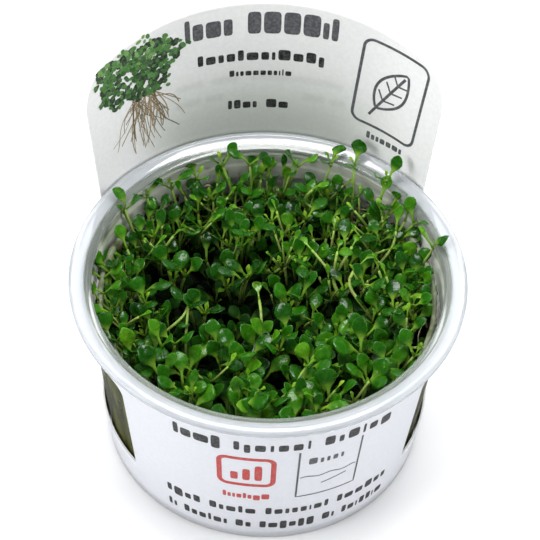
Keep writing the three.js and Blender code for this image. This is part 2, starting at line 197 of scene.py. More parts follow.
def spread(value, low, high, to_low=0.0, to_high=1.0):
    """Takes a value smoothly from one range to another."""
    limits = {"Value": value, "From Min": low, "From Max": high, "To Min": to_low, "To Max": to_high}
    return node("MapRange", limits, interpolation_type="SMOOTHSTEP").outputs["Result"]


def along_axis(place, axis):
    return node("SeparateXYZ", {0: place}).outputs[axis]


def new_material(name):
    material = bpy.data.materials.new(name)
    material.use_nodes = True
    return material, material.node_tree.nodes["Principled BSDF"]


def place_on(shader):
    """The piece's own coordinates, which its patterns read."""
    return node("TexCoord", {}, shader.id_data).outputs["Object"]


def bump(shader, height, distance, strength=0.5):
    made = node("Bump", {"Height": height, "Distance": distance, "Strength": strength})
    feed(shader.inputs["Normal"], made.outputs["Normal"])


# Effects that several materials share, each a node group

def new_group(name, inputs, output):
    """A node group with named Float, Vector or Color sockets: the group, its inputs and its output."""
    group = bpy.data.node_groups.new(name, "ShaderNodeTree")
    for direction, sockets in (("INPUT", inputs), ("OUTPUT", output)):
        for label, kind in sockets.items():
            group.interface.new_socket(label, in_out=direction, socket_type="NodeSocket" + kind)
    return group, group.nodes.new("NodeGroupInput").outputs, group.nodes.new("NodeGroupOutput").inputs[0]


def grain_group():
    """Noise over a piece, drawn out or pressed together along each axis."""
    group, given, grain_out = new_group(
        "grain", {"Place": "Vector", "Stretch": "Vector", "Scale": "Float", "Detail": "Float"}, {"Grain": "Float"})
    stretched = node("Mapping", {"Vector": given["Place"], "Scale": given["Stretch"]}).outputs["Vector"]
    noise = node("TexNoise", {"Vector": stretched, "Scale": given["Scale"], "Detail": given["Detail"]})
    feed(grain_out, noise.outputs["Fac"])
    return group


def two_tone_group():
    """One colour that turns into another as a grain rises from low to high, by a share at most."""
    group, given, colour = new_group(
        "two_tones", {"Grain": "Float", "Low": "Float", "High": "Float", "Share": "Float", "First": "Color",
                      "Second": "Color"}, {"Colour": "Color"})
    share = spread(given["Grain"], given["Low"], given["High"], 0.0, given["Share"])
    feed(colour, blend(share, given["First"], given["Second"]))
    return group


def depth_shade_group():
    """A colour that darkens between two heights, down to a share of itself at the lower one."""
    group, given, colour = new_group(
        "depth_shade", {"Place": "Vector", "Colour": "Color", "Low": "Float", "High": "Float", "Deep Share": "Float"},
        {"Colour": "Color"})
    share = spread(along_axis(given["Place"], "Z"), given["Low"], given["High"], given["Deep Share"], 1.0)
    feed(colour, node("VectorMath", {0: given["Colour"], "Scale": share}, operation="SCALE").outputs[0])
    return group


def printed_shape_group():
    """A rounded bar: its middle, half sizes, corner and soft edge, in millimetres of card."""
    group, given, ink = new_group(
        "printed_shape", {"Place": "Vector", "Middle": "Vector", "Half Size": "Vector", "Corner": "Float",
                          "Soft Edge": "Float"}, {"Ink": "Float"})
    away = vector_maths("ABSOLUTE", vector_maths("SUBTRACT", given["Place"], given["Middle"])[0])[0]
    past = vector_maths("ADD", vector_maths("SUBTRACT", away, given["Half Size"])[0], given["Corner"])[0]
    outside = vector_maths("MULTIPLY", vector_maths("MAXIMUM", past)[0], (1, 1, 0))[0]
    edge = maths("SUBTRACT", vector_maths("LENGTH", outside)["Value"], given["Corner"])
    feed(ink, maths("SUBTRACT", 0.5, maths("DIVIDE", edge, given["Soft Edge"]), clamp=True))
    return group


GRAIN = grain_group()
TWO_TONES = two_tone_group()
DEPTH_SHADE = depth_shade_group()
PRINTED_SHAPE = printed_shape_group()


def grain(place, scale, detail=2.0, stretch=(1, 1, 1)):
    inputs = {"Place": place, "Stretch": stretch, "Scale": scale, "Detail": detail}
    return node("Group", inputs, node_tree=GRAIN).outputs["Grain"]


def two_tones(texture, low, high, first, second, share=1.0):
    inputs = {"Grain": texture, "Low": low, "High": high, "Share": share, "First": first, "Second": second}
    return node("Group", inputs, node_tree=TWO_TONES).outputs["Colour"]


def depth_shade(place, colour, low, high, deep_share):
    inputs = {"Place": place, "Colour": colour, "Low": low, "High": high, "Deep Share": deep_share}
    return node("Group", inputs, node_tree=DEPTH_SHADE).outputs["Colour"]


# Mesh helpers

def placed(name, data):
    made = bpy.data.objects.new(name, data)
    bpy.context.scene.collection.objects.link(made)
    return made


def finished(name, bm, materials, smooth=True):
    mesh = bpy.data.meshes.new(name)
    bm.to_mesh(mesh)
    bm.free()
    for material in materials:
        mesh.materials.append(material)
    if smooth:
        mesh.polygons.foreach_set("use_smooth", [True] * len(mesh.polygons))
    return placed(name, mesh)


def turned(profile, steps, name, materials, soften=None):
    """Spins a closed profile of (radius, height) in millimetres about the cup's axis."""
    bm = bmesh.new()
    verts = [bm.verts.new((r * MM, 0, z * MM)) for r, z in profile]
    edges = [bm.edges.new(pair) for pair in zip(verts, verts[1:])]
    bmesh.ops.spin(bm, geom=verts + edges, cent=(0, 0, 0), axis=(0, 0, 1), angle=TURN, steps=steps,
                   use_merge=True, use_duplicate=False)
    bmesh.ops.remove_doubles(bm, verts=bm.verts, dist=1e-6)
    bmesh.ops.recalc_face_normals(bm, faces=bm.faces)
    if soften:
        sharp = [e for e in bm.edges if e.is_manifold and e.calc_face_angle() > 0.5]
        bmesh.ops.bevel(bm, geom=sharp, offset=soften * MM, segments=3, profile=0.5, affect="EDGES", material=-1,
                        clamp_overlap=True)
    return finished(name, bm, materials)


def wall_inside(z):
    """Inside radius of the cup's wall at heights in millimetres."""
    ledge = CUP_HEIGHT - LEDGE_DEPTH
    low = FOOT_RADIUS - WALL
    radius = np.where(z >= ledge, MOUTH_RADIUS, low + (MOUTH_RADIUS - LEDGE_WIDTH - low) * z / ledge)
    return radius if radius.ndim else float(radius)


def kept_in_cup(points):
    """Presses points that would pass through the wall back against it; over the rim they may lean out."""
    z = points[:, 2]
    over = np.clip(z - CUP_HEIGHT - 0.2, 0, LEAN_OVER_RIM)
    lip = LIP_REACH * np.clip(1 - np.abs(z - CUP_HEIGHT + LIP_DROP) / LIP_FADE, 0, 1)
    limit = wall_inside(z) - PLANT_CLEARANCE - lip + over
    r = np.maximum(np.hypot(points[:, 0], points[:, 1]), 1e-6)
    pressed = points.copy()
    pressed[:, :2] *= np.minimum(1, limit / r)[:, None]
    return pressed


# The cup

ALONG_THE_WALL = (1, 1, 0.16)
DROP_SHAPED = (1, 1, 3)


def plastic(name, bright, dull, clearness, haze, gloss, solidness=1.0, damp_sides=False, slanting=None):
    """The cup's plastic, whose cloudiness differs from the thin wall to the thick flange."""
    material, shader = new_material(name)
    place = place_on(shader)
    cloud = grain(place, 60)
    if slanting:
        # Seen at a slant, the thin wall hides what is behind it
        facing = node("LayerWeight", {}, shader.id_data).outputs["Facing"]
        alpha = spread(facing, 0.5, 0.86, solidness, slanting)
        colour = two_tones(grain(place, 330, 4, ALONG_THE_WALL), 0.4, 0.62, bright, dull)
        shader.inputs["Specular IOR Level"].default_value = 0.05
    else:
        alpha = solidness
        colour = blend(cloud, bright, dull)
    if damp_sides:
        side = spread(maths("ABSOLUTE", along_axis(place, "X")), 0.031, 0.039)
        drops = grain(place, 150, 3, DROP_SHAPED)
        colour = blend(side, colour, two_tones(drops, 0.36, 0.64, (0.3, 0.34, 0.25), (0.46, 0.49, 0.42)))
        alpha = maths("ADD", solidness, maths("MULTIPLY", side, 0.88 - solidness))
    dress(shader, {
        "Base Color": colour, "Roughness": spread(cloud, 0.35, 0.7, haze, 1.6 * haze), "IOR": 1.4, "Alpha": alpha,
        "Transmission Weight": clearness, "Coat Weight": gloss, "Coat Roughness": 0.04,
    })
    return material


def cup():
    top, mouth, flange, foot = CUP_HEIGHT, MOUTH_RADIUS, FLANGE_RADIUS, FOOT_RADIUS
    ledge = top - LEDGE_DEPTH
    under = top - 1.3
    profile = [
        # the foot, the wall's outside and the flange's skirt
        (0, 0), (foot - 1.4, 0), (foot - 0.4, 0.5), (foot, 1.4), (wall_inside(ledge - 0.8) + WALL, ledge - 0.8),
        (mouth + WALL, ledge), (mouth + WALL, under), (flange - 0.9, under), (flange - 0.7, under - 0.7),
        # the flange's rim and its top
        (flange - 0.1, under - 0.7), (flange, top - 0.6), (flange - 0.6, top), (flange - 1.6, top),
        (flange - 1.9, top - 0.25), (mouth + 1.3, top - 0.93), (mouth + 0.3, top - 1.25),
        # the inner lip, the snap ridge and the ledge under it
        (mouth - 0.5, top - 1.5), (mouth - LIP_REACH, top - 1.85), (mouth - 0.7, top - 2.3), (mouth, top - 3),
        (mouth, top - 3.6), (mouth - 0.25, top - 4), (mouth, top - 4.4), (mouth, ledge + 0.3),
        # the wall's inside and the floor
        (wall_inside(ledge - 0.3), ledge - 0.3), (wall_inside(MIST_LINE), MIST_LINE), (wall_inside(2.4), 2.4),
        (foot - 2.4, FLOOR), (0, FLOOR),
    ]
    milky, misted, thin, lip = 1, 2, 3, 4
    finishes = [
        plastic("clear_plastic", (0.9, 0.95, 0.93), (0.86, 0.9, 0.88), 0.96, 0.03, 0),
        plastic("milky_flange", (0.73, 0.76, 0.79), (0.7, 0.73, 0.76), 0.6, 0.12, 0.8),
        plastic("misted_wall", (0.82, 0.87, 0.73), (0.75, 0.8, 0.65), 0, 0.14, 0, 0.48, damp_sides=True),
        plastic("thin_wall", (0.026, 0.03, 0.008), (0.12, 0.126, 0.034), 0, 0.25, 0, 0.1, slanting=0.7),
        plastic("misty_lip", (0.62, 0.69, 0.64), (0.54, 0.61, 0.56), 0.87, 0.15, 0.6),
    ]
    piece = turned(profile, 160, "clear_cup", finishes, soften=0.22)
    for face in piece.data.polygons:
        x, y, z = face.center / MM
        r = math.hypot(x, y)
        if r > mouth + 1 and (z > top - 1.2 or r > mouth + WALL + 0.1):
            face.material_index = milky
        elif mouth - 1 < r < mouth + 1.1 and z > top - 2.9:
            face.material_index = lip
        elif MIST_LINE < z < top - 2.3 and r < wall_inside(z) + WALL / 2:
            face.material_index = misted
        elif 4 < z < under and r > foot - 2:
            face.material_index = thin
    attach(piece, "root")
    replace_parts(piece, "cup")


# The gel and the dark undergrowth

def gel_material():
    material, shader = new_material("nutrient_gel")
    clouds = grain(place_on(shader), 160, 4)
    dress(shader, {"Base Color": two_tones(clouds, 0.3, 0.7, (0.2, 0.19, 0.08), (0.09, 0.1, 0.03)), "Roughness": 0.2})
    bump(shader, clouds, 0.0008)
    return material


def gel():
    low = FLOOR + GAP
    rim = GEL_DEPTH + GEL_CREEP
    profile = [
        (0, low), (FOOT_RADIUS - 3.2, low), (wall_inside(3) - GAP, 3), (wall_inside(rim) - GAP, rim),
        (wall_inside(rim) - 1.6, GEL_DEPTH + 0.1), (30, GEL_DEPTH), (15, GEL_DEPTH), (0, GEL_DEPTH),
    ]
    piece = turned(profile, 96, "gel_layer", [gel_material()], soften=0.2)
    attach(piece, "root")
    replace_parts(piece, "nutrient_gel")


def undergrowth_material():
    material, shader = new_material("dark_undergrowth")
    place = place_on(shader)
    streaks = grain(place, 420, 4, ALONG_THE_WALL)
    # The old growth's own dark browns and greens, made near black as painted shade deep under the canopy
    brown = two_tones(grain(place, 90, 3), 0.4, 0.62, (0.002, 0.007, 0.001), (0.008, 0.007, 0.003))
    colour = two_tones(streaks, 0.45, 0.7, brown, (0.014, 0.034, 0.005))
    dress(shader, {"Base Color": colour, "Roughness": 0.85, "Specular IOR Level": 0.15})
    bump(shader, streaks, 0.002, 0.8)
    return material


def pressed_growth_material():
    """Leaves, stems and roots pressed flat against the clear wall, blurred by its moisture."""
    material, shader = new_material("growth_at_wall")
    place = place_on(shader)
    streaks = grain(place, 260, 4, (1, 1, 0.2))
    olive = two_tones(streaks, 0.38, 0.66, (0.034, 0.037, 0.008), (0.13, 0.138, 0.036))
    earthy = two_tones(streaks, 0.4, 0.62, (0.06, 0.045, 0.025), (0.2, 0.16, 0.11))
    mist = two_tones(streaks, 0.36, 0.64, (0.1, 0.12, 0.06), (0.21, 0.24, 0.16))
    height = along_axis(place, "Z")
    patches = maths("MULTIPLY", spread(grain(place, 130, 3), 0.42, 0.56), spread(height, 0.034, 0.041))
    colour = blend(spread(height, 0.0455, 0.048), blend(patches, olive, earthy), mist)
    dress(shader, {"Base Color": colour, "Roughness": 0.6, "Specular IOR Level": 0.3})
    bump(shader, streaks, 0.001, 0.6)
    return material


def lumpy(piece, waves, reach):
    """Moves a turned piece's points by a sum of waves round the axis."""
    mesh = piece.data
    co = np.empty(len(mesh.vertices) * 3, dtype=np.float32)
    mesh.vertices.foreach_get("co", co)
    co = co.reshape(-1, 3)
    r = np.hypot(co[:, 0], co[:, 1])
    angle = np.arctan2(co[:, 1], co[:, 0])
    lumps = sum(np.sin(n * angle + k * r + shift + 200 * co[:, 2]) for n, k, shift in waves) / len(waves) ** 0.5
    reach(co, r, lumps)
    mesh.vertices.foreach_set("co", co.ravel())
    mesh.update()


def undergrowth():
    """Old leaves and stems pressed together under the canopy: a lumpy drum, and a thin ragged ring at the wall."""
    random = Draws(UNDERGROWTH_SEED).random
    foot = GEL_DEPTH + GEL_CREEP + GAP
    drum = [(0, foot), (37.5, foot), (38.6, foot + 6), (39.2, foot + 12), (39.4, foot + 18), (37, foot + 20.5),
            (30, foot + 21), (20, foot + 21), (10, foot + 21), (0, foot + 21)]
    heap = turned(drum, 120, "undergrowth", [undergrowth_material()])
    waves = [(int(3 + 40 * random()), 900 * random(), 6.3 * random()) for _ in range(14)]

    def drum_reach(co, r, lumps):
        sink = hollow(co[:, 0] / MM, co[:, 1] / MM) * 0.006
        co[:, 2] += (lumps * 0.0016 * np.clip((r - 0.004) / 0.01, 0, 1) - sink) * (co[:, 2] > 0.03)
        side = np.clip((r - 0.037) / 0.002, 0, 1)
        co[:, :2] *= (1 + lumps * 0.012 * side - 0.012 * side)[:, None]

    lumpy(heap, waves, drum_reach)
    heights = [foot + 0.2, 16, 21, 26, 31, 35, 38, WALL_GROWTH_TOP]
    outer = [(wall_inside(z) - 0.7, z) for z in heights]
    inner = [(wall_inside(z) - 0.7 - WALL_GROWTH_DEPTH, z) for z in reversed(heights)]
    ring = turned(outer + inner + outer[:1], 240, "growth_at_wall", [pressed_growth_material()])
    ragged = [(int(4 + 90 * random()), 0, 6.3 * random()) for _ in range(16)]

    def ring_reach(co, r, lumps):
        top = np.clip((co[:, 2] - 0.034) / 0.006, 0, 1)
        by_window = smoothstep(np.abs(co[:, 0]) / r, 0.76, 0.9)
        at_back = (1 - by_window) * (co[:, 1] > 0)
        co[:, 2] += (lumps * (0.0021 - 0.0017 * by_window) + 0.0084 * by_window - 0.0012 * at_back) * top

    lumpy(ring, ragged, ring_reach)
    for piece in (heap, ring):
        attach(piece, "root")


# The plants

class Draws:
    """The same seeded draws as in the part's source."""

    def __init__(self, seed):
        self.state = seed

    def random(self):
        self.state = (self.state * 16807) % 2147483647
        return self.state / 2147483647

    def between(self, low, high):
        return low + (high - low) * self.random()


def tuft_centre(k):
    r = MAT_RADIUS * math.sqrt((k + 0.5) / TUFTS) * TUFT_SPREAD
    return r * math.cos(k * GOLDEN_ANGLE), r * math.sin(k * GOLDEN_ANGLE)


def nearest_tuft(x, y):
    return min(range(TUFTS), key=lambda k: math.hypot(x - tuft_centre(k)[0], y - tuft_centre(k)[1]))


def pulled_in(x, y, reach):
    """The share by which a place is drawn towards the cup's axis, so that it lies within reach of it."""
    return min(1, reach / max(math.hypot(x, y), 1))


def sprig_plan(k):
    """A tuft's leading sprigs, drawn just as the part's source draws them: foot, tip, turn, leaf pairs, tall or not."""
    random = Draws(PLAN_SEED + SEED_STEP * k).random
    centre = tuft_centre(k)
    home = pulled_in(*centre, TUFT_REACH)
    cx, cy = centre[0] * home, centre[1] * home
    edge = (math.hypot(cx, cy) / MAT_RADIUS) ** 2

    def leaf_pair(height, side, size):
        leaves = []
        for _ in range(2):
            tilt = LEAF_TILT_LOW + LEAF_TILT_SPREAD * random()
            leaves.append((tilt, size * (0.9 + 0.2 * random())))
        return height, side, leaves

    tall = [place for place in TALL_SPRIGS if nearest_tuft(place[0], place[1]) == k]
    plans = []
    for i in range(SPRIGS - min(len(tall), 2)):
        angle = TURN * (i + 0.8 * random()) / SPRIGS
        r = SPRIG_SPREAD_LOW + SPRIG_SPREAD * random()
        dx, dy = r * math.cos(angle), r * math.sin(angle)
        base = (cx + dx / 2, cy + dy / 2, CLUMP_TOP - 4)
        tip = (cx + dx, cy + dy, CANOPY + CANOPY_SPREAD * random() + EDGE_RISE * edge)
        plans.append((base, tip, TURN * random(), [leaf_pair(0.98, 0, LEAF_LENGTH)], False))
    for x, y, z in tall:
        start = (cx + (x - cx) * 0.45, cy + (y - cy) * 0.45)
        pull = pulled_in(*start, TALL_SPRIG_FOOT)
        base = (start[0] * pull, start[1] * pull, SHOULDER - 6)
        turn = math.atan2(y, x) if z > CUP_HEIGHT + TALL_LEAF_RISE else TURN * random()
        pairs = [leaf_pair(0.98, 0, LEAF_LENGTH * 0.9)]
        if z > CUP_HEIGHT:
            pairs.insert(0, leaf_pair(0.7, 1, LEAF_LENGTH * 0.8))
        plans.append((base, (x, y, z - TALL_LEAF_RISE), turn, pairs, True))
    return plans


def bent(base, tip, t):
    """A point on a stem's bent line, as in the part's source."""
    base, tip = np.array(base), np.array(tip)
    middle = np.array([*(base[:2] * 0.9 + tip[:2] * 0.1), (base[2] + tip[2]) / 2])
    t = np.asarray(t, dtype=float)[..., None]
    return (1 - t) ** 2 * base + 2 * t * (1 - t) * middle + t ** 2 * tip


def ringed(rings, segments, shape):
    """Bridges a row of rings into a closed tube, as arrays ready to be copied. shape(ring, angle) places each point."""
    bm = bmesh.new()
    loops = []
    for i in range(rings):
        loops.append(bmesh.ops.create_circle(bm, segments=segments, radius=1, cap_ends=False)["verts"])
        for v in loops[-1]:
            v.co = shape(i, math.atan2(v.co.y, v.co.x))
    edges = [list({e for v in verts for e in v.link_edges}) for verts in loops]
    for low, high in zip(edges, edges[1:]):
        bmesh.ops.bridge_loops(bm, edges=low + high)
    for end in (edges[0], edges[-1]):
        bmesh.ops.contextual_create(bm, geom=end)
    bmesh.ops.recalc_face_normals(bm, faces=bm.faces)
    bm.verts.index_update()
    corners, starts = [], []
    for face in bm.faces:
        starts.append(len(corners))
        corners.extend(v.index for v in face.verts)
    blank = np.array([v.co[:] for v in bm.verts]), np.array(corners), np.array(starts)
    bm.free()
    return blank


LEAF_STATIONS = [
    # share of the length, half width, half thickness
    (0.0, 0.05, 0.045), (0.22, 0.04, 0.036), (0.4, 0.05, 0.032), (0.5, 0.112, 0.03), (0.61, 0.21, 0.028),
    (0.75, 0.262, 0.026), (0.88, 0.215, 0.024), (0.965, 0.115, 0.02), (1.0, 0.03, 0.012),
]


def leaf_blank(width, cup_up, droop, sway):
    """A spoon-shaped leaf 1 long, along +Y with its upper face up: its mesh, and its growth colours."""
    growth = []

    def shape(i, angle):
        along, half, thick = LEAF_STATIONS[i]
        blade = max(0, along - 0.4) / 0.6
        across = math.cos(angle)
        half *= 1 + (width - 1) * min(1, 3 * blade)
        rise = cup_up * half * across ** 2 * min(1, 2 * blade)
        z = thick * math.sin(angle) + rise - droop * blade ** 2 * 0.4
        groove = 0.35 * thick if blade > 0 and abs(across) < 0.3 and math.sin(angle) > 0 else 0
        growth.append((along, 0.5 + 0.5 * across, 0, 1 if math.sin(angle) < -0.3 else 0))
        return Vector((half * across + sway * blade ** 2, along, z - groove))

    blank = ringed(len(LEAF_STATIONS), 8, shape)
    return blank, np.array(growth)


def stem_blank(rings, segments=6):
    """A plain tube 1 long whose rings are laid along a stem's line later."""
    return ringed(rings, segments, lambda i, angle: Vector((math.cos(angle), math.sin(angle), i / (rings - 1))))


class Heap:
    """Many copies of small shapes, kept as arrays until they become one mesh."""

    def __init__(self):
        self.points, self.corners, self.starts, self.growth, self.finishes = [], [], [], [], []
        self.count = 0
        self.corner_count = 0

    def add(self, points, corners, starts, growth, finish=0):
        self.points.append(kept_in_cup(points))
        self.corners.append(corners + self.count)
        self.starts.append(starts + self.corner_count)
        self.growth.append(growth)
        self.finishes.append(np.full(len(starts), finish, dtype=np.int32))
        self.count += len(points)
        self.corner_count += len(corners)

    def piece(self, name, *materials):
        mesh = bpy.data.meshes.new(name)
        mesh.vertices.add(self.count)
        mesh.vertices.foreach_set("co", (np.concatenate(self.points) * MM).astype(np.float32).ravel())
        mesh.loops.add(self.corner_count)
        mesh.loops.foreach_set("vertex_index", np.concatenate(self.corners).astype(np.int32))
        starts = np.concatenate(self.starts).astype(np.int32)
        mesh.polygons.add(len(starts))
        mesh.polygons.foreach_set("loop_start", starts)
        mesh.update(calc_edges=True)
        mesh.validate()
        mesh.polygons.foreach_set("use_smooth", [True] * len(mesh.polygons))
        colours = mesh.color_attributes.new("growth", "FLOAT_COLOR", "POINT")
        colours.data.foreach_set("color", np.concatenate(self.growth).astype(np.float32).ravel())
        for material in materials:
            mesh.materials.append(material)
        mesh.polygons.foreach_set("material_index", np.concatenate(self.finishes))
        made = placed(name, mesh)
        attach(made, "root")
        return made


def add_leaf(heap, kind, foot, out, tilt, length, roll, tone, finish):
    """Lays a leaf from its foot, outwards at an angle and up at a tilt, rolled about its length."""
    (points, corners, starts), growth = kind
    along = np.array([math.cos(out) * math.cos(tilt), math.sin(out) * math.cos(tilt), math.sin(tilt)])
    across = np.array([math.sin(out), -math.cos(out), 0])
    up = np.cross(across, along)
    across, up = across * math.cos(roll) + up * math.sin(roll), up * math.cos(roll) - across * math.sin(roll)
    laid = np.array(foot) + length * (points[:, :1] * across + points[:, 1:2] * along + points[:, 2:] * up)
    shades = growth.copy()
    shades[:, 2] = tone
    heap.add(laid, corners, starts, shades, finish)


def add_stem(heap, blank, line, radius, tone, taper=0.8):
    """Lays a tube along a line of points, one for each ring."""
    points, corners, starts = blank
    ahead = np.gradient(line, axis=0)
    ahead /= np.linalg.norm(ahead, axis=1)[:, None]
    side = np.cross(ahead, [0.31, 0.17, 0.93] if abs(ahead[0][2]) < 0.9 else [0.9, 0.3, 0.1])
    side /= np.linalg.norm(side, axis=1)[:, None]
    other = np.cross(ahead, side)
    ring = np.rint(points[:, 2] * (len(line) - 1)).astype(int)
    size = radius * (1 - (1 - taper) * points[:, 2])
    laid = line[ring] + size[:, None] * (points[:, :1] * side[ring] + points[:, 1:2] * other[ring])
    shades = np.tile([0, 0.5, tone, 1], (len(points), 1))
    shades[:, 0] = points[:, 2]
    heap.add(laid, corners, starts, shades)


def growth_values(shader):
    """What leaves and stems carry: the share along and across them, their tone, and 1 on undersides and stems."""
    growth = node("Attribute", {}, shader.id_data, attribute_name="growth").outputs
    parts = node("SeparateColor", {"Color": growth["Color"]}).outputs
    return parts["Red"], parts["Green"], parts["Blue"], growth["Alpha"]


def leaf_material(name, shine, gloss_low, gloss_high, deep_shade=0.06, withered=0.0):
    material, shader = new_material(name)
    along, across, tone, under = growth_values(shader)
    place = place_on(shader)
    mottle = grain(place, 700, 3)
    shift = maths("MULTIPLY", maths("SUBTRACT", mottle, 0.5), 0.35)
    ramp = node("ValToRGB", {"Fac": maths("ADD", tone, shift, clamp=True)})
    steps = ramp.color_ramp.elements
    steps[0].color, steps[1].color = (0.002, 0.028, 0.001, 1), (0.25, 0.42, 0.03, 1)
    steps.new(0.45).color = (0.015, 0.1, 0.002, 1)
    steps.new(0.75).color = (0.065, 0.21, 0.005, 1)
    colour = blend(spread(along, 0.4, 0.68, 0.85, 0.0), ramp.outputs["Color"], (0.17, 0.33, 0.03))
    from_middle = maths("ABSOLUTE", maths("SUBTRACT", across, 0.5))
    colour = two_tones(from_middle, 0.4, 0.5, colour, (0.06, 0.22, 0.025), 0.35)
    colour = blend(maths("MULTIPLY", under, 0.3), colour, (0.05, 0.17, 0.015))
    colour = blend(withered, colour, (0.1, 0.095, 0.04))
    deep = spread(along_axis(place, "Z"), 0.035, 0.043, 0.5, 0.0)
    dress(shader, {
        "Base Color": depth_shade(place, colour, 0.034, 0.0475, deep_shade), "Specular IOR Level": shine,
        "Roughness": maths("ADD", spread(mottle, 0.3, 0.7, gloss_low, gloss_high), deep),
        "Subsurface Weight": 0.1, "Subsurface Radius": (0.5, 1.0, 0.2), "Subsurface Scale": 0.001,
    })
    bump(shader, maths("ADD", maths("MULTIPLY", grain(place, 330, 1), 4.0), mottle), 0.0003, 0.6)
    return material


def stem_material():
    material, shader = new_material("pale_stem")
    along, _, tone, _ = growth_values(shader)
    place = place_on(shader)
    low = two_tones(along, 0.0, 0.9, (0.03, 0.055, 0.01), (0.085, 0.19, 0.018))
    high = two_tones(along, 0.0, 0.9, (0.1, 0.15, 0.035), (0.3, 0.45, 0.09))
    fibre = grain(place, 900, 2)
    colour = two_tones(fibre, 0.45, 0.75, blend(tone, low, high), (0.16, 0.11, 0.05), 0.5)
    dress(shader, {
        "Base Color": depth_shade(place, colour, 0.031, 0.0465, 0.05), "Roughness": 0.42, "Specular IOR Level": 0.25,
        "Subsurface Weight": 0.1, "Subsurface Radius": (0.6, 1.0, 0.3), "Subsurface Scale": 0.0008,
    })
    bump(shader, fibre, 0.0002, 0.3)
    return material


def root_material():
    material, shader = new_material("old_root")
    fibre = grain(place_on(shader), 500, 3)
    colour = two_tones(fibre, 0.35, 0.65, (0.15, 0.11, 0.06), (0.42, 0.36, 0.23))
    dress(shader, {"Base Color": colour, "Roughness": 0.6})
    bump(shader, fibre, 0.0004)
    return material


def hollow(x, y):
    """How far a place lies in the mat's dark hollow left of the middle, from 0 to 1; in millimetres."""
    return np.exp(-((x + 12) / 23) ** 2 - ((y - 4) / 15) ** 2)


def canopy_height(x, y):
    """Where the stems fork over a place: higher by the back wall and lowest left of the middle."""
    r = math.hypot(x, y) / MAT_RADIUS
    return 40.5 + 2.5 * r ** 2 + 1.9 * max(0, y / MAT_RADIUS) * r - 8.5 * hollow(x, y)


def at_window(i, past, draw):
    """A bearing from +Y within one of the windows or just past its ends, on the two sides in turn."""
    return math.radians(draw(WINDOW_BACK_DEG - past, WINDOW_FRONT_DEG + past) * (1 if i % 2 else -1))


